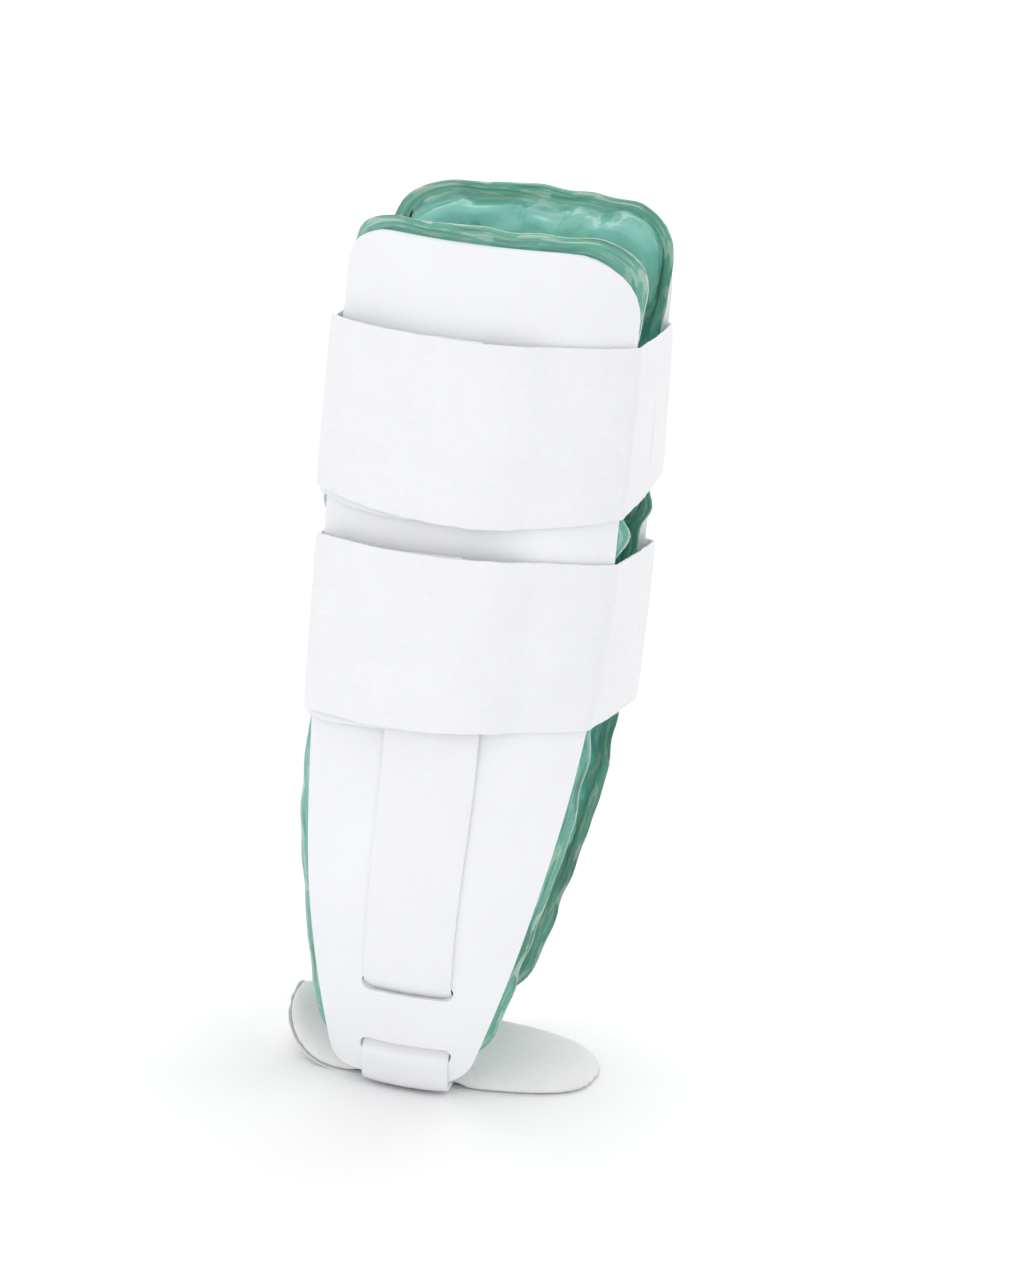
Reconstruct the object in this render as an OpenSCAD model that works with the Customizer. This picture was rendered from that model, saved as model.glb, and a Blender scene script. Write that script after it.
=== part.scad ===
// Ankle stirrup orthosis: two moulded side shells with gel pads, a heel strap that threads the shells'
// slots, a padded heel piece and two wrap straps.
// +X is the front of the leg, -Y the outer (lateral) side, +Z up. The origin is under the middle of the
// heel, on the surface that the heel pad rests on.

/* [Shells] */
// Height of each moulded shell
shell_height = 238; // [230:1:246]
// Width of a shell across its widest part
shell_width = 81; // [80:0.5:82]
// Outer radius of a shell's horizontal section
shell_radius = 54; // [53:0.5:55]
// Thickness of the moulded wall
shell_wall = 2.5; // [2.2:0.1:2.6]
// How far the foot of a shell tucks in under the ankle
heel_tuck = 13.5; // [11:0.5:13.5]

/* [Gel pads] */
// Thickness of the gel inside a pad
gel_thickness = 8; // [6:0.5:9]
// Thickness of each welded film
film = 0.6; // [0.4:0.1:0.6]
// Height that a pad shows above its shell
pad_rise = 5; // [4:0.5:7]

/* [Straps] */
// Width of the two wrap straps
wrap_width = 50; // [44:1:52]
// Thickness of the wrap straps
wrap_thickness = 1.5; // [1.2:0.1:1.5]
// Height of the lower wrap strap's bottom edge
lower_wrap_z = 110; // [108:0.5:111]
// Height of the upper wrap strap's bottom edge
upper_wrap_z = 168; // [165:0.5:171]
// Width of the heel strap
heel_strap_width = 25; // [22:0.5:25]

/* [Heel pad] */
// Length of the heel pad from back to front
heel_pad_length = 90; // [86:1:96]
// Width of the heel pad from side to side
heel_pad_width = 56; // [53:1:57]
// Thickness of the heel pad's foam
heel_foam = 4; // [3:0.5:4]

/* [Hidden] */
$fn = 180;

lateral = -1;
medial = 1;

// Shell form
shell_z = 3.8;           // height of the shell's bottom edge
axis_offset = 4;         // each shell's axis lies this far past the middle plane
half_width = shell_width / 2;
foot_taper = 21.5;       // how much narrower each side is at the foot
taper_height = 155;      // below this the outline narrows
taper_power = 2.1;
foot_shift = 5.6;        // how far the foot of the outline lies behind its middle line
shift_height = 166;      // below this the middle line bends back
tuck_height = 57;        // below this the wall tucks in
bulge = 2;               // swell over the ankle bone
bulge_height = 62;
bulge_spread = 22;
flare = 2;               // outward roll of the top edge
flare_height = 16;
top_corner_front = 17.5;
top_corner_back = 11.5;
bottom_corner_front = 8;
bottom_corner_back = 5;

// Slots that the heel strap threads
strap_x = -3;
slot_length = heel_strap_width + 1.4;
slot_height = 4.6;
lower_slot_h = 7.2;
upper_slot_h = 27.6;

// Pad layers, counted inwards from the shell's outer face
hook_dot = 1.5;
pad_back = shell_wall + hook_dot;
pad_overhang = 2.2;      // past the shell's outline, below the wrap straps
pad_cap = half_width + 0.4;
pad_bottom_h = 7;
pad_weld = 5;            // width of the welded rim
pad_top_corner = 14;

// Heel strap and hook tabs
webbing = 1.3;
tab = 0.9;
tail_top_h = 132;
cover = 0.9;

// Wrap straps: a hinge runs down each place where a strap leaves a shell's edge
layer_gap = 0.3;
corner_angle = asin(half_width / shell_radius);
hinge_gap = 1.6;
inner_end_angle = 2;
tab_angle = 12;

// Outer radius of the shell at height h above its bottom edge
function shell_r(h) =
    shell_radius
    + bulge * exp(-pow((h - bulge_height) / bulge_spread, 2))
    + flare * pow(min(1, max(0, h - shell_height + flare_height) / flare_height), 2)
    - heel_tuck * pow(max(0, tuck_height - h) / tuck_height, 2);

// Half the shell's width at height h
function half_w(h) = half_width - foot_taper * pow(max(0, 1 - h / taper_height), taper_power);

// Where the outline's middle line lies at height h
function middle_x(h) = -foot_shift * pow(max(0, 1 - h / shift_height), 2);

// Heights at which the wall's profile is cut into rings: close below the ankle, sparse above it
function levels(h0, h1) = concat(
    [h0],
    [for (h = [6:6:126]) if (h > h0 + 1 && h < h1 - 1) h],
    [for (h = [shell_height - flare_height:4:shell_height]) if (h > h0 + 1 && h < h1 - 1) h],
    [h1]);

function reversed(v) = [for (i = [len(v) - 1:-1:0]) v[i]];

// Points of an arc round c from angle a0 to a1
function arc(c, r, a0, a1, n = 7) =
    [for (i = [0:n]) let (a = a0 + (a1 - a0) * i / n) c + r * [cos(a), sin(a)]];

// One side of an outline: bottom corner, side curve and top corner. end is 1 for the front and -1 for the
// back. Points are [distance from the middle plane, height above the shell's bottom edge].
function outline_side(end, grow, cap, h0, h1, bottom_r, top_r) =
    let (w = function (h) min(half_w(h) + end * middle_x(h) + grow, cap),
         slope = atan((w(h0 + bottom_r) - w(h0)) / bottom_r),
         corner_h = h0 + bottom_r * (1 - sin(slope)),
         corner = [w(corner_h) - bottom_r * cos(slope), h0 + bottom_r])
    concat(
        arc(corner, bottom_r, -90, -slope),
        [for (i = [1:11]) let (h = corner_h + (taper_height - corner_h) * i / 11) [w(h), h]],
        arc([cap - top_r, h1 - top_r], top_r, 0, 90));

// Whole outline: the front side as it is, and the back side mirrored
function outline(grow, cap, h0, h1, front_r, back_r) = concat(
    outline_side(1, grow, cap, h0, h1, bottom_corner_front, front_r),
    reversed([for (p = outline_side(-1, grow, cap, h0, h1, bottom_corner_back, back_r)) [-p[0], p[1]]]));

// A flat outline pushed through one side of the leg, to cut a sheet that is bent round it
push_near = 6;           // the push starts this far from the middle plane
push_depth = 80;
module through(side) {
    translate([0, side == lateral ? -push_near : push_near + push_depth, shell_z])
        rotate([90, 0, 0]) linear_extrude(push_depth) children();
}

// Ring that follows the shell's face, from offset o0 to o1 outside it, turned round one side's axis
module face_ring(side, h0, h1, o0, o1) {
    hs = levels(h0, h1);
    translate([0, -side * axis_offset, shell_z])
        rotate_extrude()
            polygon(concat(
                [for (h = hs) [shell_r(h) + o0, h]],
                [for (h = reversed(hs)) [shell_r(h) + o1, h]]));
}

// Sheet bent round the leg: the child outline, between two offsets from the shell's outer face
module bent_sheet(side, h0, h1, o0, o1) {
    intersection() {
        face_ring(side, h0, h1, o0, o1);
        through(side) children();
    }
}

// Upright rectangle for a patch, with its middle at x
module patch(x, h0, width, height) {
    translate([x - width / 2, h0]) square([width, height]);
}

// Slot with round ends
drill_y = 40;            // middle and length of the drills that cut slots and round dots
drill = 60;
module slot(side, h) {
    straight = slot_length - slot_height;
    translate([strap_x, side * drill_y, shell_z + h + slot_height / 2]) {
        cube([straight, drill, slot_height], center = true);
        for (end = [-1, 1])
            translate([end * straight / 2, 0, 0])
                rotate([90, 0, 0]) cylinder(h = drill, d = slot_height, center = true);
    }
}

module shell(side) {
    color([0.95, 0.95, 0.97])
        difference() {
            bent_sheet(side, 0, shell_height, -shell_wall, 0)
                polygon(outline(0, half_width, 0, shell_height, top_corner_front, top_corner_back));
            slot(side, lower_slot_h);
            slot(side, upper_slot_h);
        }
}

// Pad outline, inset from the welded edge
module pad_outline(inset) {
    polygon(outline(pad_overhang - inset, pad_cap - inset, pad_bottom_h + inset,
                    shell_height + pad_rise - inset, pad_top_corner, pad_top_corner));
}

pad_top_h = shell_height + pad_rise;
gel_back = pad_back + film;
gel_front = gel_back + gel_thickness;

module pad_back_film(side) {
    color([0.35, 0.78, 0.68, 0.8])
        bent_sheet(side, pad_bottom_h, pad_top_h, -gel_back, -pad_back) pad_outline(0);
}

module pad_gel(side) {
    color([0.45, 0.85, 0.74, 0.6])
        bent_sheet(side, pad_bottom_h + pad_weld, pad_top_h - pad_weld, -gel_front, -gel_back)
            pad_outline(pad_weld);
}

module pad_front_film(side) {
    color([0.38, 0.8, 0.7, 0.8])
        difference() {
            union() {
                bent_sheet(side, pad_bottom_h, pad_top_h, -gel_back - film, -gel_back) pad_outline(0);
                bent_sheet(side, pad_bottom_h + pad_weld - film, pad_top_h - pad_weld + film,
                           -gel_front - film, -gel_back) pad_outline(pad_weld - film);
            }
            bent_sheet(side, pad_bottom_h + pad_weld, pad_top_h - pad_weld, -gel_front, -gel_back + 1)
                pad_outline(pad_weld);
        }
}

// Round hook dots that hold a pad to its shell, as [x, height] of their middles
dot_diameter = 20;
dot_places = [[0, 58], [-20, 120], [20, 120], [-20, 205], [20, 205]];
module pad_hook_dots(side) {
    reach = dot_diameter / 2 + 2;
    color("white")
        for (p = dot_places)
            intersection() {
                face_ring(side, p[1] - reach, p[1] + reach, -pad_back, -shell_wall);
                translate([p[0], side * drill_y, shell_z + p[1]])
                    rotate([90, 0, 0]) cylinder(h = drill, d = dot_diameter, center = true);
            }
}

// Hook patches on the shell's outer face that hold the wrap straps
patch_x = 27;            // a narrow patch lies this far from the middle, clear of the heel strap's tail
patch_width = 18;
wide_patch = 60;         // on the medial shell, above the tail
patch_margin = 8;        // from the wrap strap's edges
module shell_hook_patches(side) {
    upper_h = upper_wrap_z - shell_z;
    lower_h = lower_wrap_z - shell_z;
    color("white") {
        bent_sheet(side, upper_h + patch_margin, upper_h + wrap_width - patch_margin, 0, tab)
            patch(side == lateral ? -patch_x : 0, 0, side == lateral ? patch_width : wide_patch,
                  shell_height);
        for (x = side == lateral ? [-patch_x] : [-patch_x, patch_x])
            bent_sheet(side, lower_h + patch_margin, lower_h + wrap_width - patch_margin, 0, tab)
                patch(x, 0, patch_width, shell_height);
    }
}

// Both sides of a bent ribbon whose middle line is path, as one closed outline
function ribbon(path, t) =
    let (n = len(path) - 1,
         dir = [for (i = [0:n]) let (d = path[min(i + 1, n)] - path[max(i - 1, 0)]) d / norm(d)],
         seg = [for (i = [0:n - 1]) let (d = path[i + 1] - path[i]) d / norm(d)],
         miter = [for (i = [0:n]) i == 0 || i == n ? 1 : 1 / max(0.5, seg[i - 1] * dir[i])],
         side = [for (i = [0:n]) [-dir[i][1], dir[i][0]] * t / 2 * miter[i]])
    concat([for (i = [0:n]) path[i] + side[i]], [for (i = [n:-1:0]) path[i] - side[i]]);

// Underside of the heel: the strap lies on the base cover
strap_z = cover;

// Middle line of a heel strap end as [radius, height above the shell's foot]: from under the heel round
// the shell's foot, in through the lower slot, up behind the bar, out through the upper slot and up
strap_out = 0.15 + webbing / 2;
strap_in = -shell_wall - 0.1 - webbing / 2;
under_h = strap_z + webbing / 2 - shell_z;
under_reach = 14;
tail_out = tab + webbing / 2;
slot_lead = 0.5;         // how far inside a slot's edge the strap turns
tab_length = 29;
heel_strap_line = concat(
    [[shell_r(0) - under_reach, under_h], [shell_r(0) - 0.6, under_h + 0.1],
     [shell_r(0) + 0.45, under_h + 0.7], [shell_r(0) + strap_out, under_h + 2],
     [shell_r(2) + strap_out, 2],
     [shell_r(lower_slot_h) + strap_out, lower_slot_h + slot_lead]],
    [for (i = [0:3]) let (h0 = lower_slot_h + slot_height - 0.3, h = h0 + (upper_slot_h + 0.3 - h0) * i / 3)
        [shell_r(h) + strap_in, h]],
    [for (h = [upper_slot_h + slot_height - slot_lead:6:tail_top_h - tab_length - 6])
        [shell_r(h) + strap_out, h]],
    [for (h = [tail_top_h - tab_length:7:tail_top_h - 1]) [shell_r(h) + tail_out, h]],
    [[shell_r(tail_top_h) + tail_out, tail_top_h]]);

// The heel strap flexes along a line just outside the heel pad
flex_y = heel_pad_width / 2 + 0.9;
flex_gap = 0.8;

module heel_strap_end(side) {
    near = flex_y + flex_gap;
    color([0.95, 0.95, 0.96])
        intersection() {
            translate([0, -side * axis_offset, shell_z])
                rotate_extrude() polygon(ribbon(heel_strap_line, webbing));
            translate([strap_x - heel_strap_width / 2, side == lateral ? -near - 60 : near, 0])
                cube([heel_strap_width, 60, shell_height]);
        }
}

// Hook tab sewn behind the heel strap's tail, which grips the shell
module heel_strap_hook_tab(side) {
    color("white")
        bent_sheet(side, tail_top_h - tab_length + 2, tail_top_h - 1, 0, tab)
            patch(strap_x, 0, heel_strap_width - 1, shell_height);
}

// Heel pad: layers that lie flat under the heel and curl up behind it, cut to a long oval
heel_pad_x = 2;
heel_corner = heel_pad_width / 2 - 0.5;
curl_clearance = 9;
curl_x = strap_x - heel_strap_width / 2 - curl_clearance;   // the curl starts this far behind the strap
curl_radius = 19;
curl_angle = 76;
top_cover_z = strap_z + webbing + heel_foam;

module heel_layer(z, thickness, inset) {
    l = heel_pad_length - 2 * inset;
    w = heel_pad_width - 2 * inset;
    r = heel_corner - inset;
    front = heel_pad_x + l / 2;
    turn = [curl_x, curl_radius];
    color([0.94, 0.94, 0.94])
        intersection() {
            rotate([90, 0, 0]) linear_extrude(w, center = true)
                polygon(concat(
                    arc(turn, curl_radius - z, -90 - curl_angle, -90),
                    [[front, z], [front, z + thickness]],
                    reversed(arc(turn, curl_radius - z - thickness, -90 - curl_angle, -90))));
            translate([heel_pad_x, 0, -1]) linear_extrude(curl_radius) {
                square([l - 2 * r, w], center = true);
                square([l, w - 2 * r], center = true);
                for (sx = [-1, 1], sy = [-1, 1])
                    translate([sx * (l / 2 - r), sy * (w / 2 - r)]) circle(r);
            }
        }
}

module heel_pad_base_cover() {
    heel_layer(0, cover, 0);
}

module heel_strap_middle() {
    color([0.95, 0.95, 0.96])
        translate([strap_x - heel_strap_width / 2, flex_gap - flex_y, strap_z])
            cube([heel_strap_width, 2 * (flex_y - flex_gap), webbing]);
}

// The strap runs in a channel under the foam
channel_clearance = 0.4;
foam_inset = 1.5;
module heel_pad_foam() {
    channel = heel_strap_width + channel_clearance;
    color([0.94, 0.94, 0.94])
        difference() {
            heel_layer(cover, webbing + heel_foam, foam_inset);
            translate([strap_x - channel / 2, -heel_pad_width, 0])
                cube([channel, 2 * heel_pad_width, strap_z + webbing]);
        }
}

module heel_pad_top_cover() {
    heel_layer(top_cover_z, cover, 0);
}

// Point on the line at radius r and angle a from the leg's side, seen from above
function on_side(side, r, a) = [r * sin(a), side * (r * cos(a) - axis_offset)];

// Middle line of a strap along one side's arc, from angle a0 to a1
function side_arc(side, r, a0, a1, n = 16) = [for (i = [0:n]) on_side(side, r, a0 + (a1 - a0) * i / n)];

// Strap outline with a round end at its first point, where it hinges
function hinged_ribbon(path, t) =
    let (d = path[1] - path[0], a = atan2(d[1], d[0]))
    concat(ribbon(path, t), arc(path[0], t / 2, a - 112.5, a - 247.5));

// Path cut short by a hinge's clearance at its far end
function cut_end(p, q) = q - (q - p) / norm(q - p) * hinge_gap;

// Radii of a wrap strap's middle line: the layer on the shells, and the layer that laps over it
lower_lift = webbing + tab + layer_gap;
upper_lift = tab + layer_gap;
function inner_r(lift) = shell_radius + lift + wrap_thickness / 2;
function outer_r(lift) = inner_r(lift) + wrap_thickness + tab + layer_gap;
function cut_angle(r) = hinge_gap / r * 180 / PI;

// The outer layer's free end stops level with the shell's back edge
end_overlap = 0.5;
function outer_end(lift) = asin((half_width + end_overlap) / outer_r(lift));

module at_strap(z) {
    translate([0, 0, z]) linear_extrude(wrap_width) children();
}

module wrap_medial_band(z, lift) {
    r = inner_r(lift);
    a = corner_angle - cut_angle(r);
    color([0.96, 0.96, 0.97]) at_strap(z) polygon(ribbon(side_arc(medial, r, -a, a), wrap_thickness));
}

// Back span and inner layer: leaves the medial shell, crosses the back and ends over the lateral shell
module wrap_back_flap(z, lift) {
    r = inner_r(lift);
    color([0.95, 0.95, 0.96])
        at_strap(z)
            polygon(hinged_ribbon(concat([on_side(medial, r, -corner_angle)],
                side_arc(lateral, r, -corner_angle, inner_end_angle)), wrap_thickness));
}

module wrap_front_span(z, lift) {
    hinge = on_side(medial, inner_r(lift), corner_angle);
    turn = on_side(lateral, outer_r(lift), corner_angle);
    color([0.96, 0.96, 0.97])
        at_strap(z) polygon(hinged_ribbon([hinge, cut_end(hinge, turn)], wrap_thickness));
}

module wrap_outer_flap(z, lift) {
    color([0.96, 0.96, 0.97])
        at_strap(z)
            polygon(hinged_ribbon(side_arc(lateral, outer_r(lift), corner_angle, -outer_end(lift)),
                wrap_thickness));
}

// Hook tab sewn inside the free end of the outer flap
tab_margin = 2;
tab_slack = 0.2;
module wrap_hook_tab(z, lift) {
    r = outer_r(lift) - (wrap_thickness + tab) / 2;
    color("white")
        translate([0, 0, z + tab_margin]) linear_extrude(wrap_width - 2 * tab_margin)
            polygon(ribbon(side_arc(lateral, r, 0.5 - outer_end(lift), -tab_angle), tab - tab_slack));
}

heel_pad_base_cover();
heel_strap_middle();
heel_pad_foam();
heel_pad_top_cover();
shell(lateral);  // lateral_shell
pad_back_film(lateral);  // lateral_pad_back_film
pad_gel(lateral);  // lateral_pad_gel
pad_front_film(lateral);  // lateral_pad_front_film
pad_hook_dots(lateral);  // lateral_pad_hook_dots
shell_hook_patches(lateral);  // lateral_shell_hook_patches
heel_strap_end(lateral);  // heel_strap_lateral_end
heel_strap_hook_tab(lateral);  // heel_strap_lateral_hook_tab
shell(medial);  // medial_shell
pad_back_film(medial);  // medial_pad_back_film
pad_gel(medial);  // medial_pad_gel
pad_front_film(medial);  // medial_pad_front_film
pad_hook_dots(medial);  // medial_pad_hook_dots
shell_hook_patches(medial);  // medial_shell_hook_patches
heel_strap_end(medial);  // heel_strap_medial_end
heel_strap_hook_tab(medial);  // heel_strap_medial_hook_tab
wrap_medial_band(upper_wrap_z, upper_lift);  // upper_wrap_medial_band
wrap_back_flap(upper_wrap_z, upper_lift);  // upper_wrap_back_flap
wrap_front_span(upper_wrap_z, upper_lift);  // upper_wrap_front_span
wrap_outer_flap(upper_wrap_z, upper_lift);  // upper_wrap_outer_flap
wrap_hook_tab(upper_wrap_z, upper_lift);  // upper_wrap_hook_tab
wrap_medial_band(lower_wrap_z, lower_lift);  // lower_wrap_medial_band
wrap_back_flap(lower_wrap_z, lower_lift);  // lower_wrap_back_flap
wrap_front_span(lower_wrap_z, lower_lift);  // lower_wrap_front_span
wrap_outer_flap(lower_wrap_z, lower_lift);  // lower_wrap_outer_flap
wrap_hook_tab(lower_wrap_z, lower_lift);  // lower_wrap_hook_tab
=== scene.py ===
"""Ankle stirrup orthosis: side shells, gel pads, heel strap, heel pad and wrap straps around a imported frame.

Lengths are in metres. +X is the front of the leg, -Y its outer side and +Z up. A place on one side of the
leg is given as x, the height h above the shell's foot, and the offset o outside the shell's face.
"""

import logging
import math
from contextlib import contextmanager
from dataclasses import dataclass, field
from enum import Enum
from typing import Any, Callable, Iterable, Iterator, Sequence

import bmesh
import bpy
import numpy as np
from mathutils import Matrix, Vector
from numpy.typing import NDArray

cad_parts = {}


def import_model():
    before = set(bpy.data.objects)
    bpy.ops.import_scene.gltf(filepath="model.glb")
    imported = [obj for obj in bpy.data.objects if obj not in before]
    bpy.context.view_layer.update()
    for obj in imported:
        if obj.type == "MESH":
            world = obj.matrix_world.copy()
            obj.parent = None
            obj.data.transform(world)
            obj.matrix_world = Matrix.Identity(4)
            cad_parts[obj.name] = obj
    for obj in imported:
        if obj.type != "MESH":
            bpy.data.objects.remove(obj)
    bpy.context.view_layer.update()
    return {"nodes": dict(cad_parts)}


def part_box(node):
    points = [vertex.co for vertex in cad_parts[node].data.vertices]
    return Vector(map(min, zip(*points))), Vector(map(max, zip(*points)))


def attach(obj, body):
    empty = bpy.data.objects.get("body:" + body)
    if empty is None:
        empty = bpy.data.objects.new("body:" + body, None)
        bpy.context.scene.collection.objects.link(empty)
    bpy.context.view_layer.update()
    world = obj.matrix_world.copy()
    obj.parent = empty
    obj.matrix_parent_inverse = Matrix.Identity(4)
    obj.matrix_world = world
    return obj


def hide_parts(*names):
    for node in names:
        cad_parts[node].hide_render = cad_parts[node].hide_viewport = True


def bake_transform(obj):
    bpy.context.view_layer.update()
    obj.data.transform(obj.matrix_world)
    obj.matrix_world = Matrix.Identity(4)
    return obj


MM = 0.001
Array = NDArray[np.float64]
log = logging.getLogger("ankle_stirrup")


class Side(Enum):
    """The two sides of the leg, with the sign of their Y."""

    LATERAL = -1
    MEDIAL = 1

    @property
    def label(self) -> str:
        """Name used in nodes and pieces."""
        return self.name.lower()

    @property
    def body(self) -> str:
        """The body that this side's rigid pieces ride on."""
        return f"{self.label}_side"


class Wrap(Enum):
    """The two wrap straps."""

    UPPER = "upper"
    LOWER = "lower"


# ---------------------------------------------------------------- shader building


class Sock:
    """A node socket that takes part in Python arithmetic: each operator adds one Math node."""

    def __init__(self, shader: "Shader", socket: Any) -> None:
        """Keep the socket and the shader that owns it."""
        self.shader = shader
        self.socket = socket

    def _math(self, operation: str, *values: Any) -> "Sock":
        """Add a Math node over the given values.

        Args:
            operation: name of the operation.
            values: numbers and Socks, in order.

        Returns:
            The result.
        """
        return self.shader.node("ShaderNodeMath", {"operation": operation}, dict(enumerate(values)))

    def __add__(self, other: Any) -> "Sock":
        """Sum."""
        return self._math("ADD", self, other)

    __radd__ = __add__

    def __mul__(self, other: Any) -> "Sock":
        """Product."""
        return self._math("MULTIPLY", self, other)

    __rmul__ = __mul__

    def __sub__(self, other: Any) -> "Sock":
        """Difference."""
        return self._math("SUBTRACT", self, other)

    def __rsub__(self, other: Any) -> "Sock":
        """Difference, reflected."""
        return self._math("SUBTRACT", other, self)

    def clamped(self) -> "Sock":
        """The value held between 0 and 1."""
        return self._math("MINIMUM", self._math("MAXIMUM", self, 0.0), 1.0)


class Shader:
    """Builds one material around a Principled BSDF."""

    def __init__(self, name: str) -> None:
        """Make an empty node material."""
        self.material = bpy.data.materials.new(name)
        self.material.use_nodes = True
        self.tree = self.material.node_tree
        self.tree.nodes.clear()
        self.bsdf = self.tree.nodes.new("ShaderNodeBsdfPrincipled")
        output = self.tree.nodes.new("ShaderNodeOutputMaterial")
        self.tree.links.new(self.bsdf.outputs[0], output.inputs["Surface"])

    def node(self, kind: str, settings: dict[str, Any], inputs: dict[Any, Any],
             out: Any = 0) -> Sock:
        """Add a node.

        Args:
            kind: the node's type.
            settings: attributes of the node, set before its sockets. A ramp's stops go under "stops".
            inputs: socket name or number to a value or a Sock.
            out: name or number of the output wanted.

        Returns:
            The chosen output.
        """
        made = self.tree.nodes.new(kind)
        for key, value in settings.items():
            if key == "stops":
                ramp = made.color_ramp.elements
                for i, (place, colour) in enumerate(value):
                    stop = ramp[i] if i < 2 else ramp.new(place)
                    stop.position, stop.color = place, colour
            else:
                setattr(made, key, value)
        for key, value in inputs.items():
            self._feed(made.inputs[key], value)
        return Sock(self, made.outputs[out])

    def _feed(self, socket: Any, value: Any) -> None:
        """Link a Sock to a socket, or set the socket's own value.

        Args:
            socket: the socket to feed.
            value: a Sock to link, or a number, colour or vector.
        """
        if isinstance(value, Sock):
            self.tree.links.new(value.socket, socket)
        else:
            socket.default_value = value

    def set(self, **inputs: Any) -> None:
        """Set or link the Principled BSDF's sockets, whose names are written with underscores."""
        for key, value in inputs.items():
            self._feed(self.bsdf.inputs[key.replace("_", " ")], value)

    def place(self, scale: Sequence[float] = (1, 1, 1)) -> Sock:
        """Object coordinates, scaled."""
        raw = self.node("ShaderNodeTexCoord", {}, {}, "Object")
        return self.node("ShaderNodeMapping", {}, {"Vector": raw, "Scale": tuple(scale)})

    def cloth_uv(self) -> Sock:
        """The piece's own UV map, in metres along and across the cloth."""
        return self.node("ShaderNodeTexCoord", {}, {}, "UV")

    def stretched(self, uv: Sock, along: float, over: float) -> Sock:
        """A UV scaled by one number along the cloth and another across it."""
        return self.node("ShaderNodeMapping", {}, {"Vector": uv, "Scale": (along, over, 1)})

    def as_number(self, colour: Sock) -> Sock:
        """A grey colour as a plain number."""
        return self.node("ShaderNodeRGBToBW", {}, {"Color": colour})

    def noise(self, where: Sock, scale: float, detail: float = 3, roughness: float = 0.5) -> Sock:
        """A noise value."""
        return self.node("ShaderNodeTexNoise", {},
                         {"Vector": where, "Scale": scale, "Detail": detail, "Roughness": roughness})

    def ramp(self, value: Sock, *stops: tuple[float, tuple[float, float, float]]) -> Sock:
        """A colour ramp over a value."""
        opaque = [(place, (*colour, 1.0)) for place, colour in stops]
        return self.node("ShaderNodeValToRGB", {"stops": opaque}, {"Fac": value})

    def blend(self, factor: Sock, first: Any, second: Any) -> Sock:
        """Mix two colours."""
        return self.node("ShaderNodeMix", {"data_type": "RGBA"},
                         {0: factor, 6: first, 7: second}, 2)

    def bump(self, height: Sock, distance: float, strength: float = 1.0) -> None:
        """Feed the normal from a height value.

        Args:
            height: height of the surface, about 0 to 1.
            distance: what a height of 1 measures, in metres.
            strength: share of the effect.
        """
        self.set(Normal=self.node("ShaderNodeBump", {},
                                  {"Height": height, "Distance": distance, "Strength": strength}))


Colour = tuple[float, float, float]


@dataclass(frozen=True)
class MouldedPlastic:
    """Satin polypropylene with a faint orange-peel skin and softly varied gloss."""

    base: Colour = (0.86, 0.865, 0.895)
    dim: Colour = (0.83, 0.835, 0.87)
    peel: float = 0.03 * MM

    def build(self, name: str) -> bpy.types.Material:
        """Make the material.

        Args:
            name: name of the material.

        Returns:
            The material.
        """
        s = Shader(name)
        where = s.place()
        cloud = s.noise(where, 28, 4)
        grain = s.noise(where, 1500, 2)
        s.set(Base_Color=s.ramp(cloud, (0.3, self.dim), (0.7, self.base)),
              Roughness=0.36 + cloud * 0.14, Subsurface_Weight=0.12, Subsurface_Scale=4 * MM, IOR=1.49)
        s.bump(grain + cloud * 6, self.peel, 0.5)
        return s.material


@dataclass(frozen=True)
class BrushedLoop:
    """Brushed loop fabric: short curled fibres over a fine knit, with a soft sheen."""

    light: Colour = (0.86, 0.865, 0.885)
    shade: Colour = (0.80, 0.805, 0.83)
    loop: float = 0.7 * MM
    fuzz: float = 0.16 * MM
    sheen: float = 0.2

    def build(self, name: str) -> bpy.types.Material:
        """Make the material.

        Small cells stretched along the cloth are the loops, and they are broken by fibres.

        Args:
            name: name of the material.

        Returns:
            The material.
        """
        s = Shader(name)
        uv, where = s.cloth_uv(), s.place()
        cells = s.stretched(uv, 0.6 / self.loop, 1 / self.loop)
        loops = s.node("ShaderNodeTexVoronoi", {"feature": "SMOOTH_F1"},
                       {"Vector": cells, "Scale": 1.0, "Randomness": 0.8, "Smoothness": 0.6}, "Distance")
        fibre = s.noise(where, 2600, 5, 0.7)
        patchy = s.noise(where, 70, 4, 0.6)
        tone = (fibre * 0.62 + patchy * 0.38 - loops * 0.16 + 0.06).clamped()
        s.set(Base_Color=s.ramp(tone, (0.25, self.shade), (0.62, self.light)),
              Roughness=0.85 + patchy * 0.1, Sheen_Weight=self.sheen, Sheen_Roughness=0.5,
              Specular_IOR_Level=0.2)
        s.bump(fibre * 0.9 + patchy * 0.5 - loops * 0.9, self.fuzz, 0.6)
        return s.material


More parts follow.
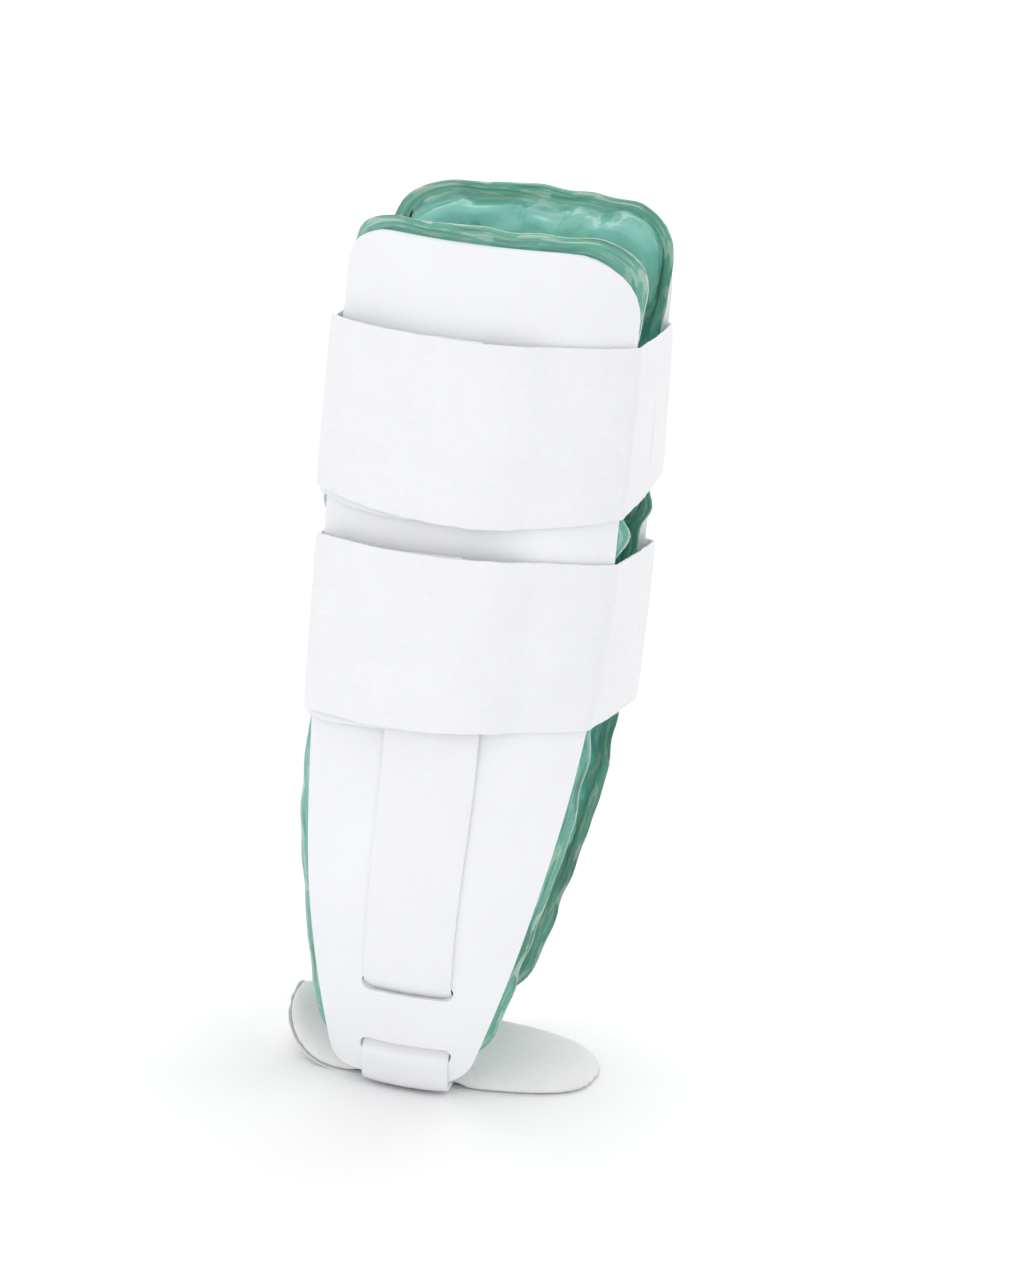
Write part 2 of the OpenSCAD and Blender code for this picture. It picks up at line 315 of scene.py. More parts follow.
@dataclass(frozen=True)
class TintedFilm:
    """Glossy tinted film over gel: streaked along the weld, and soft and clear over the chamber.

    The weld's streaks carry painted shade in their grooves and painted highlights on their crests, and its
    pale patches are painted reflections.
    """

    # painted shade in the grooves of the weld's streaks
    deep: Colour = (0.05, 0.24, 0.17)
    mid: Colour = (0.12, 0.50, 0.37)
    # painted highlight on the streaks' crests and in the pale patches
    pale: Colour = (0.60, 0.82, 0.70)
    gel: Colour = (0.11, 0.53, 0.43)
    gel_pale: Colour = (0.26, 0.70, 0.59)
    clear: float = 0.3
    weld_reach: float = 9 * MM
    relief: float = 0.7 * MM

    def build(self, name: str) -> bpy.types.Material:
        """Make the material. The UV's first value runs round the rim and its second inwards from it.

        Args:
            name: name of the material.

        Returns:
            The material.
        """
        s = Shader(name)
        where, uv = s.place(), s.cloth_uv()
        inwards = s.node("ShaderNodeSeparateXYZ", {}, {"Vector": uv}, "Y")
        rim = (1 - inwards * (1 / self.weld_reach)).clamped()
        streak = s.noise(s.stretched(uv, 42, 900), 1.0, 5, 0.62)
        patches = s.noise(s.stretched(uv, 110, 620), 1.0, 2, 0.4)
        cloud = s.noise(where, 38, 3)
        # The streak ramp paints shade in the grooves of the weld's relief and highlights on its crests, with
        # the film's own tint between.
        at_weld = s.ramp(streak, (0.38, self.deep), (0.47, self.mid), (0.56, self.mid),
                         (0.64, self.pale))
        # Pale patches with crisp edges over the weld: painted reflections.
        glint = s.ramp(patches, (0.58, (0, 0, 0)), (0.62, (1, 1, 1)))
        at_weld = s.blend(s.as_number(glint) * 0.6, at_weld, (*self.pale, 1.0))
        chamber = s.ramp(cloud, (0.3, self.gel), (0.7, self.gel_pale))
        s.set(Base_Color=s.blend(rim, chamber, at_weld), Roughness=0.09 + cloud * 0.12 + rim * 0.05,
              Transmission_Weight=self.clear, IOR=1.43, Coat_Weight=0.7, Coat_Roughness=0.05,
              Subsurface_Weight=0.3, Subsurface_Scale=6 * MM)
        lumps, grain = s.noise(where, 260, 3), s.noise(where, 900, 2)
        s.bump(streak * rim * 1.6 + lumps * 0.5 + grain * 0.12, self.relief, 0.6)
        return s.material


@dataclass(frozen=True)
class Gel:
    """Tinted gel seen through the film."""

    colour: Colour = (0.16, 0.56, 0.42)

    def build(self, name: str) -> bpy.types.Material:
        """Make the material.

        Args:
            name: name of the material.

        Returns:
            The material.
        """
        s = Shader(name)
        cloud = s.noise(s.place(), 35, 3)
        dark = tuple(c * 0.72 for c in self.colour)
        s.set(Base_Color=s.ramp(cloud, (0.3, dark), (0.7, self.colour)), Roughness=0.22 + cloud * 0.1,
              Transmission_Weight=0.4, IOR=1.41, Subsurface_Weight=0.5, Subsurface_Scale=10 * MM)
        s.bump(cloud, 0.6 * MM, 0.5)
        return s.material


@dataclass(frozen=True)
class HookTape:
    """Hook tape: rows of short stiff hooks on a woven backing."""

    base: Colour = (0.74, 0.745, 0.76)
    pitch: float = 1.3 * MM

    def build(self, name: str) -> bpy.types.Material:
        """Make the material.

        Args:
            name: name of the material.

        Returns:
            The material.
        """
        s = Shader(name)
        hooks = s.node("ShaderNodeTexVoronoi", {"feature": "F1"},
                       {"Vector": s.place(), "Scale": 1 / self.pitch, "Randomness": 0.25}, "Distance")
        dark = tuple(c * 0.7 for c in self.base)
        s.set(Base_Color=s.ramp(hooks, (0.1, self.base), (0.7, dark)), Roughness=0.5 + hooks * 0.2)
        s.bump(1 - hooks, 0.6 * MM, 0.8)
        return s.material


# ---------------------------------------------------------------- mesh building


def make_object(name: str, verts: Array, faces: Array, uv: Array | None = None) -> bpy.types.Object:
    """Put arrays into a new mesh object at the origin.

    Args:
        name: name of the piece.
        verts: points, one row each.
        faces: corner numbers, one row a face.
        uv: a UV for each point, or None.

    Returns:
        The object, with its faces turned outwards.
    """
    mesh = bpy.data.meshes.new(name)
    mesh.from_pydata(verts.tolist(), [], faces.tolist())
    if uv is not None:
        layer = mesh.uv_layers.new(name="cloth")
        corners = np.empty(len(mesh.loops), np.int32)
        mesh.loops.foreach_get("vertex_index", corners)
        layer.data.foreach_set("uv", uv[corners].astype(np.float32).ravel())
    made = bpy.data.objects.new(name, mesh)
    bpy.context.scene.collection.objects.link(made)
    with reworked(made):
        pass
    mesh.shade_smooth()
    return made


@contextmanager
def reworked(piece: bpy.types.Object) -> Iterator[bmesh.types.BMesh]:
    """Open a piece's mesh for a change, then turn its faces outwards and put it back.

    Args:
        piece: the piece to change.

    Yields:
        The open mesh.
    """
    mesh = bmesh.new()
    mesh.from_mesh(piece.data)
    yield mesh
    bmesh.ops.recalc_face_normals(mesh, faces=mesh.faces)
    mesh.to_mesh(piece.data)
    mesh.free()


def merge_rim(piece: bpy.types.Object) -> None:
    """Join two faces of a piece along the rim that they share."""
    with reworked(piece) as mesh:
        bmesh.ops.remove_doubles(mesh, verts=mesh.verts, dist=0.02 * MM)
    piece.data.shade_smooth()


def close_ends(piece: bpy.types.Object) -> None:
    """Fill a tube's two open ends, flat, and keep its cut edges crisp."""
    with reworked(piece) as mesh:
        rim = [edge for edge in mesh.edges if len(edge.link_faces) == 1]
        for face in bmesh.ops.holes_fill(mesh, edges=rim, sides=0)["faces"]:
            face.smooth = False
    piece.data.set_sharp_from_angle(angle=math.radians(55))


def grid_faces(rows: int, columns: int, ring: bool = False) -> Array:
    """Quads of a grid of points held row by row.

    Args:
        rows: number of rows.
        columns: number of points in a row.
        ring: whether each row closes on itself.

    Returns:
        Corner numbers, one row a face.
    """
    across = columns if ring else columns - 1
    i, j = np.meshgrid(np.arange(rows - 1), np.arange(across), indexing="ij")
    k = (j + 1) % columns
    corners = (i * columns + j, i * columns + k, (i + 1) * columns + k, (i + 1) * columns + j)
    return np.stack(corners, -1).reshape(-1, 4)


def read_points(piece: bpy.types.Object) -> Array:
    """A piece's points, one row each."""
    flat = np.empty(len(piece.data.vertices) * 3, np.float32)
    piece.data.vertices.foreach_get("co", flat)
    return flat.reshape(-1, 3).astype(float)


def apply_modifiers(piece: bpy.types.Object) -> None:
    """Make a piece's modifiers part of its mesh."""
    bpy.context.view_layer.update()
    graph = bpy.context.evaluated_depsgraph_get()
    final = bpy.data.meshes.new_from_object(piece.evaluated_get(graph), depsgraph=graph)
    piece.modifiers.clear()
    piece.data = final


def ease(value: Array, start: float, end: float) -> Array:
    """Smoothstep: 0 before start, 1 after end, and 3t^2 - 2t^3 between them."""
    t = np.clip((np.asarray(value, float) - start) / (end - start), 0, 1)
    return t * t * (3 - 2 * t)


def lengths(points: Array) -> Array:
    """Length along a line of points, up to each of them."""
    return np.concatenate([[0], np.cumsum(np.linalg.norm(np.diff(points, axis=0), axis=1))])


def signed_power(wave: Array, power: float) -> Array:
    """A wave's size raised to a power, with the wave's own sign."""
    return np.sign(wave) * np.abs(wave) ** power


def flat_oval(count: int) -> tuple[Array, Array]:
    """The section of a cloth, walked once round.

    Its width is |cos|^0.42 with cos's sign, which crowds the points into the rounded edges, and its
    thickness is the matching |sin|^0.55.

    Args:
        count: number of points.

    Returns:
        Each point's share of the half width and of the half thickness.
    """
    turn = np.linspace(0, 2 * math.pi, count, endpoint=False)
    return signed_power(np.cos(turn), 0.42), signed_power(np.sin(turn), 0.55)


def bell(value: Array, spread: float) -> Array:
    """A bell of height 1 round 0: e to the minus square of value over spread."""
    return np.exp(-(value / spread) ** 2)


def ripple(a: Array, b: Array, seed: int, waves: Sequence[tuple[float, float]]) -> Array:
    """Smooth unevenness: a sum of sines over a and b.

    Args:
        a: first parameter, in metres.
        b: second parameter, in metres.
        seed: picks the phases and directions.
        waves: (wavelength, height) pairs, in metres.

    Returns:
        The height at each point, in metres.
    """
    rng = np.random.default_rng(seed)
    total = np.zeros(np.broadcast(a, b).shape)
    for length, height in waves:
        for _ in range(3):
            turn, phase = rng.uniform(0, 2 * math.pi, 2)
            stretch = rng.uniform(0.75, 1.3)
            along = (a * math.cos(turn) + b * math.sin(turn)) * stretch
            total += height / 3 * np.sin(2 * math.pi * along / length + phase)
    return total


# ---------------------------------------------------------------- the leg's form


@dataclass
class LegForm:
    """The form that every piece is bent round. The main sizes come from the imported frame."""

    axis_offset: float = 4 * MM
    bulge: float = 2 * MM
    bulge_height: float = 62 * MM
    bulge_spread: float = 22 * MM
    flare: float = 2 * MM
    flare_height: float = 16 * MM
    heel_tuck: float = 13.5 * MM
    tuck_height: float = 57 * MM
    foot_taper: float = 21.5 * MM
    taper_height: float = 155 * MM
    taper_power: float = 2.1
    foot_shift: float = 5.6 * MM
    shift_height: float = 166 * MM
    wall: float = 2.5 * MM
    foot_z: float = field(init=False)
    height: float = field(init=False)
    half_width: float = field(init=False)
    radius: float = field(init=False)

    def __post_init__(self) -> None:
        """Read the shell's box from the frame."""
        low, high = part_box("lateral_shell")
        self.foot_z, self.height = low.z, high.z - low.z
        self.half_width = (high.x - low.x) / 2
        self.radius = -low.y + self.axis_offset - self.bulge

    def r(self, h: Array) -> Array:
        """Radius of the shell's face.

        It is a cylinder's, with a bell for the swell over the ankle, and squares of the way into the top
        for the flare and into the foot for the tuck at the heel.

        Args:
            h: heights.

        Returns:
            The radius at each height.
        """
        h = np.asarray(h, float)
        swell = self.bulge * bell(h - self.bulge_height, self.bulge_spread)
        into_top = np.clip((h - self.height + self.flare_height) / self.flare_height, 0, 1)
        roll = self.flare * into_top ** 2
        tuck = self.heel_tuck * (np.clip(self.tuck_height - h, 0, None) / self.tuck_height) ** 2
        return self.radius + swell + roll - tuck

    def half(self, h: Array) -> Array:
        """Half the shell's width at height h."""
        narrowing = np.clip(1 - np.asarray(h, float) / self.taper_height, 0, None)
        return self.half_width - self.foot_taper * narrowing ** self.taper_power

    def middle(self, h: Array) -> Array:
        """Where the outline's middle line lies at height h."""
        return -self.foot_shift * np.clip(1 - np.asarray(h, float) / self.shift_height, 0, None) ** 2

    def bend(self, side: Side, x: Array, h: Array, o: Array) -> Array:
        """Bend places round the leg's side: x stays, and y follows the circle of radius r(h) + o.

        Args:
            side: which side.
            x: distances forwards of the middle.
            h: heights above the shell's foot.
            o: offsets outside the shell's face.

        Returns:
            The points, with the last axis as x, y and z.
        """
        x, h, o = np.broadcast_arrays(np.asarray(x, float), np.asarray(h, float), np.asarray(o, float))
        reach = np.sqrt(np.maximum((self.r(h) + o) ** 2 - x ** 2, 1e-8))
        return np.stack([x, side.value * (reach - self.axis_offset), h + self.foot_z], -1)


@dataclass
class Outline:
    """A rounded outline on the leg's side."""

    form: LegForm
    bottom: float
    top: float
    grow: float = 0.0
    cap: float = 1.0
    front_corner: float = 17.5 * MM
    back_corner: float = 11.5 * MM
    foot_front: float = 8 * MM
    foot_back: float = 5 * MM
    corner_rows: int = 9
    row_room: float = 0.7 * MM
    least_row: float = 0.05 * MM

    def edge(self, end: int, h: Array) -> Array:
        """Distance of one edge from the middle plane.

        A corner is an arc: the edge draws in by r - sqrt(r^2 - d^2), where d is how far the height is
        into the corner.

        Args:
            end: 1 for the front edge and -1 for the back.
            h: heights.

        Returns:
            The distances, positive outwards at both ends.
        """
        h = np.asarray(h, float)
        side = np.minimum(self.form.half(h) + end * self.form.middle(h) + self.grow, self.cap)
        for corner, depth in ((self.front_corner if end > 0 else self.back_corner, self.top - h),
                              (self.foot_front if end > 0 else self.foot_back, h - self.bottom)):
            d = np.clip(corner - depth, 0, corner)
            side = side - (corner - np.sqrt(np.maximum(corner ** 2 - d ** 2, 0)))
        return side

    def heights(self, step: float, extra: Sequence[float] = ()) -> Array:
        """Row heights: even between the corners, closer in them, and one at each extra height.

        Args:
            step: distance between the even rows.
            extra: heights that need a row. Other rows keep clear of them.

        Returns:
            The heights, rising.
        """
        rounding = 1 - np.cos(np.linspace(0, math.pi / 2, self.corner_rows))
        low = self.bottom + max(self.foot_front, self.foot_back) * rounding
        high = self.top - max(self.front_corner, self.back_corner) * rounding
        even = np.linspace(low[-1], high[-1], int((high[-1] - low[-1]) / step))
        rows = np.unique(np.round(np.concatenate([low, even, high]), 6))
        extra = np.asarray(extra, float)
        if extra.size:
            rows = rows[np.abs(rows[:, None] - extra[None, :]).min(1) > self.row_room]
        rows = np.unique(np.concatenate([[self.bottom, self.top], rows, extra]))
        return rows[np.concatenate([[True], np.diff(rows) > self.least_row])]


# ---------------------------------------------------------------- sub-assemblies


@dataclass
class Finishes:
    """Every material, made once."""

    shell: bpy.types.Material = field(init=False)
    fabric: bpy.types.Material = field(init=False)
    webbing: bpy.types.Material = field(init=False)
    heel: bpy.types.Material = field(init=False)
    film: bpy.types.Material = field(init=False)
    gel: bpy.types.Material = field(init=False)
    hook: bpy.types.Material = field(init=False)

    def __post_init__(self) -> None:
        """Build the materials."""
        self.shell = MouldedPlastic().build("shell_plastic")
        self.fabric = BrushedLoop().build("wrap_fabric")
        self.webbing = BrushedLoop(light=(0.85, 0.855, 0.88), shade=(0.81, 0.815, 0.84), loop=0.5 * MM,
                                   fuzz=0.07 * MM, sheen=0.05).build("heel_webbing")
        self.heel = BrushedLoop(light=(0.88, 0.875, 0.875), shade=(0.79, 0.785, 0.79), loop=0.9 * MM,
                                fuzz=0.5 * MM, sheen=0.4).build("heel_fabric")
        self.film = TintedFilm().build("gel_film")
        self.gel = Gel().build("gel")
        self.hook = HookTape().build("hook_tape")


@dataclass
class Dressing:
    """Finishes a piece: its material, body and the CAD nodes it stands for."""

    finishes: Finishes
    made: list[str] = field(default_factory=list)

    def finish(self, piece: bpy.types.Object, material: bpy.types.Material,
               nodes: Iterable[str] = (), body: str | None = None) -> bpy.types.Object:
        """Dress one piece and put it on a body, unless it is to be blended.

        Args:
            piece: the piece.
            material: its material.
            nodes: the CAD nodes it stands for.
            body: the body it rides on, or None.

        Returns:
            The same piece.
        """
        piece.data.materials.clear()
        piece.data.materials.append(material)
        if nodes:
            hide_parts(*nodes)
        if body:
            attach(piece, body)
        self.made.append(piece.name)
        log.info("%s: %d faces", piece.name, len(piece.data.polygons))
        return piece

    def carry_over(self, material: bpy.types.Material, words: Sequence[str]) -> None:
        """Give a material to the CAD nodes whose names hold any of the words.

        Args:
            material: the material.
            words: the words to look for.
        """
        for name in frame["nodes"]:
            if any(word in name for word in words):
                node = bpy.data.objects[name]
                node.data.materials.clear()
                node.data.materials.append(material)


@dataclass
class SideShell:
    """A moulded side shell with its two strap slots."""

    form: LegForm
    strap_x: float = -3 * MM
    slot_half: float = 13.2 * MM
    slot_height: float = 4.6 * MM
    lower_slot: float = 7.2 * MM
    upper_slot: float = 27.6 * MM
    slot_fade: float = 2.5 * MM
    slot_margin: float = 0.8 * MM
    slot_turns: tuple[int, ...] = (0, 25, 50, 72, 90, 108, 130, 155, 180)
    lip: float = 0.55 * MM
    lip_drop: float = 1.6 * MM
    lip_spread: float = 1.5 * MM
    lip_fade: float = 1.2 * MM
    straight_above: float = 40 * MM
    narrow_foot: float = 2.6
    column_room: float = 0.92
    edge_columns: int = 9
    slot_columns: int = 28
    row_step: float = 3.2 * MM
    rounding: float = 0.75 * MM
    crisp: float = math.radians(50)

    def slots(self) -> list[tuple[float, float]]:
        """Bottom and top of each slot."""
        return [(h, h + self.slot_height) for h in (self.lower_slot, self.upper_slot)]

    def slot_round(self, h: Array) -> Array:
        """How far a slot's end draws in: a half circle inside the slot, which fades beside it.

        Args:
            h: heights.

        Returns:
            The distance at each height.
        """
        draw = np.zeros_like(h)
        radius = self.slot_height / 2
        for low, high in self.slots():
            away = np.abs(h - (low + high) / 2)
            inside = radius - np.sqrt(np.maximum(radius ** 2 - np.minimum(away, radius) ** 2, 0))
            fade = np.clip(1 - (away - radius) / self.slot_fade, 0, 1)
            draw = np.maximum(draw, np.where(away <= radius + 1e-7, inside, radius * fade))
        return draw

    def relief(self, x: Array, h: Array) -> Array:
        """Soft moulded lips beside the slots: bells in height, and level along the slot.

        Args:
            x: distances forwards of the middle.
            h: heights.

        Returns:
            Height of the lips above the shell's face.
        """
        along = 1 / (1 + np.exp((np.abs(x - self.strap_x) - self.slot_half) / self.lip_fade))
        rise = np.zeros_like(h)
        for low, high in self.slots():
            rise += bell(h - low + self.lip_drop, self.lip_spread)
            rise += 0.5 * bell(h - high - self.lip_drop, self.lip_spread)
        return self.lip * along * rise

    def sheet(self, side: Side) -> bpy.types.Object:
        """The wall's outer face as one sheet with the slots left out.

        Each row runs from edge to edge. Low down, two columns follow the slots' ends, and higher up they
        spread with the outline.

        Args:
            side: which shell.

        Returns:
            The open sheet.
        """
        outline = Outline(self.form, 0.0, self.form.height)
        steps = self.slot_height / 2 * np.cos(np.radians(self.slot_turns))
        marks = [mark for low, high in self.slots()
                 for mark in (*(steps + (low + high) / 2), low - self.slot_margin, high + self.slot_margin)]
        heights = outline.heights(self.row_step, marks)
        back, front = -outline.edge(-1, heights), outline.edge(1, heights)
        spread = np.maximum(1, self.form.half(heights) / self.form.half(np.array(self.straight_above)))
        room = np.minimum(1, (front - back) / (self.narrow_foot * self.slot_half))
        reach = self.slot_half * spread * room - self.slot_round(heights)
        behind = np.minimum(reach, self.column_room * (self.strap_x - back))
        ahead = np.minimum(reach, self.column_room * (front - self.strap_x))
        stops = np.stack([back, self.strap_x - behind, self.strap_x + ahead, front], -1)
        even = np.linspace(0, 1, self.slot_columns + 1)
        crowded = 0.5 - 0.5 * np.cos(math.pi * even)
        outer = np.linspace(0, 1, self.edge_columns + 1)
        x = np.concatenate([
            stops[:, start:start + 1] + (stops[:, start + 1:start + 2] - stops[:, start:start + 1]) * shares
            for start, shares in enumerate((outer[:-1], (0.5 * (crowded + even))[:-1], outer))], 1)
        h = heights[:, None] + 0 * x
        points = self.form.bend(side, x, h, self.relief(x, h))
        faces = grid_faces(*x.shape)
        face_h = h.ravel()[faces].mean(1)
        column = np.tile(np.arange(x.shape[1] - 1), x.shape[0] - 1) - self.edge_columns
        in_slot = np.any([(face_h > low) & (face_h < high) for low, high in self.slots()], axis=0)
        in_slot &= (column >= 0) & (column < self.slot_columns)
        return make_object(f"{side.label}_moulded_shell", points.reshape(-1, 3), faces[~in_slot])

    def build(self, side: Side, dress: Dressing) -> None:
        """Give the sheet its wall and rounded edges, and dress it.

        Args:
            side: which shell.
            dress: puts the finish on it.
        """
        piece = self.sheet(side)
        if piece.data.polygons[len(piece.data.polygons) // 2].normal.y * side.value <= 0:
            piece.data.flip_normals()
        wall = piece.modifiers.new("wall", "SOLIDIFY")
        wall.thickness, wall.offset, wall.use_even_offset = self.form.wall, -1, False
        edge = piece.modifiers.new("rounding", "BEVEL")
        edge.width, edge.segments, edge.limit_method = self.rounding, 3, "ANGLE"
        edge.angle_limit = self.crisp
        apply_modifiers(piece)
        piece.data.shade_smooth()
        piece.modifiers.new("normals", "WEIGHTED_NORMAL").keep_sharp = True
        dress.finish(piece, dress.finishes.shell, [f"{side.label}_shell"], side.body)


@dataclass
class GelPad:
    """A gel bladder: two films welded round the rim over a chamber of gel.

    Its places are rings: u runs round the rim and d is the distance in from it, towards a spine up the
    pad's middle. The wrap straps press its edges in, so it bulges between them.
    """

    form: LegForm
    back: float = 4.0 * MM
    film: float = 0.6 * MM
    gel: float = 8.0 * MM
    overhang: float = 2.2 * MM
    top_overhang: float = 0.4 * MM
    bottom: float = 7 * MM
    rise: float = 5 * MM
    weld: float = 4.2 * MM
    corner: float = 14 * MM
    swell_reach: float = 13 * MM
    pressed: tuple[tuple[float, float], ...] = ((104 * MM, 156 * MM), (162 * MM, 214 * MM))
    press: float = 1.7 * MM
    press_fade: float = 5 * MM
    bulge: float = 2.2 * MM
    back_bulge: float = 2.2 * MM
    bulge_spread: float = 6 * MM
    low_back: float = 2.1 * MM
    low_back_fade: tuple[float, float] = (80 * MM, 105 * MM)
    spine_ends: tuple[float, float] = (27 * MM, 32 * MM)
    near_rim: tuple[float, ...] = (0, 0.25, 0.7, 1.3, 2.0, 2.7, 3.4, 4.2, 4.8, 5.6, 6.6, 7.8, 9.3, 11.2,
                                   13.5, 16.5)
    inner_rings: int = 7
    around: int = 290
    core_gap: float = 1.2 * MM
    core_fill: float = 0.72
    settle_frames: int = 20
    settle_cap: float = 2.4 * MM
    settle_share: float = 0.9

    def loop(self, inset: float) -> tuple[Array, Array, Array]:
        """The pad's outline, drawn in by an inset, as evenly spaced places.

        Args:
            inset: distance in from the bladder's rim.

        Returns:
            x, h and the length round the rim of each place. The first place comes again at the end.
        """
        form = self.form
        corner = self.corner - inset * 0.5
        outline = Outline(form, self.bottom + inset, form.height + self.rise - inset,
                          self.overhang - inset, form.half_width + self.top_overhang - inset, corner, corner)
        heights = outline.heights(2 * MM)
        fade = self.press_fade
        held = sum(ease(heights, low - fade, low + fade) * (1 - ease(heights, high - fade, high + fade))
                   for low, high in self.pressed)
        between = bell(heights - (self.pressed[0][1] + self.pressed[1][0]) / 2, self.bulge_spread)
        squeeze = self.bulge * between - self.press * np.clip(held, 0, 1)
        low_back = self.low_back * (1 - ease(heights, *self.low_back_fade)) if inset == 0 else 0.0
        x = np.concatenate([-outline.edge(-1, heights) - squeeze - self.back_bulge * between - low_back,
                            (outline.edge(1, heights) + squeeze)[::-1]])
        h = np.concatenate([heights, heights[::-1]])
        x, h = np.append(x, x[0]), np.append(h, h[0])
        length = lengths(np.stack([x, h], -1))
        u = np.linspace(0, length[-1], self.around + 1)
        return np.interp(u, length, x), np.interp(u, length, h), u

    def rings(self, inset: float) -> tuple[Array, Array, Array, Array]:
        """Every place: rings at set distances near the rim, then even shares of the way to the spine.

        Args:
            inset: distance in from the bladder's rim.

        Returns:
            x, h, u and d of each place.
        """
        x, h, u = self.loop(inset)
        spine_h = np.clip(h, self.bottom + self.spine_ends[0], self.form.height - self.spine_ends[1])
        spine_x = self.form.middle(spine_h)
        reach = np.hypot(spine_x - x, spine_h - h)
        near = np.array(self.near_rim) * MM
        shares = np.linspace(0, 1, self.inner_rings + 1)[1:, None]
        d = np.concatenate([near[:, None] + 0 * reach, near[-1] + shares * (reach - near[-1])])
        u = np.broadcast_to(u, d.shape)
        fade = np.exp(-d / (7 * MM))
        pull = ripple(u, 0 * u, 5, ((34 * MM, 0.9 * MM), (15 * MM, 0.5 * MM))) * fade
        share = d / reach + (pull + 0.2 * MM * fade) / reach
        return x + (spine_x - x) * share, h + (spine_h - h) * share, u, d

    def depths(self, x: Array, h: Array, u: Array, d: Array, inset: float,
               fill: float) -> tuple[Array, Array]:
        """Offsets of the two films.

        Past the weld the chamber swells by 1 - (1 - t)^2.3, with t the way over the swell's reach. Folds
        run in from the weld: sines round the rim with an uneven pitch, which die away inwards. Ridges
        parallel to the rim cross the flat weld.

        Args:
            x: distances forwards of the middle.
            h: heights.
            u: lengths round the rim.
            d: distances in from the rim.
            inset: distance of the rim in from the bladder's.
            fill: how full the chamber is.

        Returns:
            Offsets of the outer and of the inner film.
        """
        inwards = d - (self.weld if inset == 0 else 0)
        swell = 1 - (1 - np.clip(inwards / self.swell_reach, 0, 1)) ** 2.3
        flat = 2 * self.film * min(1.0, 2 * fill)
        depth = (self.gel + 2 * self.film - flat) * fill
        pitch = u / (5.6 * MM) + 1.7 * np.sin(u / (31 * MM)) + 1.1 * np.sin(u / (13 * MM) + 2)
        fold = np.sin(pitch) + 0.5 * np.sin(1.9 * pitch + 1)
        fold_size = 0.42 * MM * np.exp(-np.clip(inwards, 0, None) / (4.5 * MM)) * np.clip(swell * 5, 0, 1)
        wave = 0.22 * MM * np.exp(-d / (3 * MM)) * np.sin(0.45 * pitch)
        ridge = 0.10 * MM * np.sin(2 * math.pi * d / (1.35 * MM) + 1.4 * np.sin(u / (24 * MM)))
        ridge = ridge * (inwards < 0) * (d > 0.5 * MM)
        groove = 0.25 * MM * bell(inwards, 0.6 * MM)
        rim = (flat / 2 - groove + ridge) * np.sqrt(np.clip(d / (0.7 * MM), 0, 1))
        slack = ripple(x, h, 17, ((70 * MM, 0.5 * MM), (32 * MM, 0.35 * MM))) * swell
        middle = -self.back - flat / 2 + wave
        return middle + rim, middle - rim - depth * swell - slack - fold * fold_size

    def skin(self, name: str, side: Side, inset: float, fill: float) -> bpy.types.Object:
        """A closed skin, with the points that are held in a vertex group.

        Args:
            name: name of the piece.
            side: which pad.
            inset: distance in from the bladder's rim.
            fill: how full it is.

        Returns:
            The piece.
        """
        x, h, u, d = self.rings(inset)
        points = np.concatenate([self.form.bend(side, x, h, o).reshape(-1, 3)
                                 for o in self.depths(x, h, u, d, inset, fill)])
        faces = grid_faces(*x.shape)
        uv = np.concatenate([np.stack([u.ravel(), d.ravel()], -1)] * 2)
        piece = make_object(name, points, np.concatenate([faces, faces[:, ::-1] + x.size]), uv)
        loose = np.concatenate([np.zeros(x.size, bool), (d > self.weld + 0.3 * MM).ravel()])
        piece.vertex_groups.new(name="held").add(np.flatnonzero(~loose).tolist(), 1.0, "REPLACE")
        merge_rim(piece)
        return piece

    def settle(self, piece: bpy.types.Object) -> None:
        """Let the inner film swell under the gel's pressure, held at the weld, and keep it within a cap.

        Args:
            piece: the bladder.
        """
        before = read_points(piece)
        cloth = piece.modifiers.new("cloth", "CLOTH")
        stuff = cloth.settings
        stuff.quality, stuff.mass = 5, 0.3
        stuff.tension_stiffness = stuff.compression_stiffness = 18
        stuff.shear_stiffness, stuff.bending_stiffness = 6, 0.25
        stuff.use_pressure, stuff.uniform_pressure_force = True, 3.0
        stuff.shrink_min = -0.07
        stuff.vertex_group_mass = "held"
        stuff.effector_weights.gravity = 0
        cloth.collision_settings.use_collision = False
        cloth.point_cache.frame_start, cloth.point_cache.frame_end = 1, self.settle_frames
        for moment in range(1, self.settle_frames + 1):
            bpy.context.scene.frame_set(moment)
        apply_modifiers(piece)
        bpy.context.scene.frame_set(1)
        moved = read_points(piece) - before
        size = np.linalg.norm(moved, axis=1, keepdims=True)
        kept = np.minimum(1, self.settle_cap / np.maximum(size, 1e-9)) * self.settle_share
        log.info("film moved up to %.1f mm", size.max() / MM)
        piece.data.vertices.foreach_set("co", (before + moved * kept).astype(np.float32).ravel())
        piece.data.update()
        piece.data.shade_smooth()

    def build(self, side: Side, dress: Dressing) -> None:
        """Make the film bladder and the gel core in it.

        Args:
            side: which pad.
            dress: puts the finishes on them.
        """
        films = [f"{side.label}_pad_back_film", f"{side.label}_pad_front_film"]
        bladder = self.skin(f"{side.label}_gel_bladder", side, 0.0, 1.0)
        self.settle(bladder)
        bladder.vertex_groups.clear()
        dress.finish(bladder, dress.finishes.film, films, side.body)
        core = self.skin(f"{side.label}_gel_core", side, self.weld + self.core_gap, self.core_fill)
        core.vertex_groups.clear()
        dress.finish(core, dress.finishes.gel, [f"{side.label}_pad_gel"], side.body)


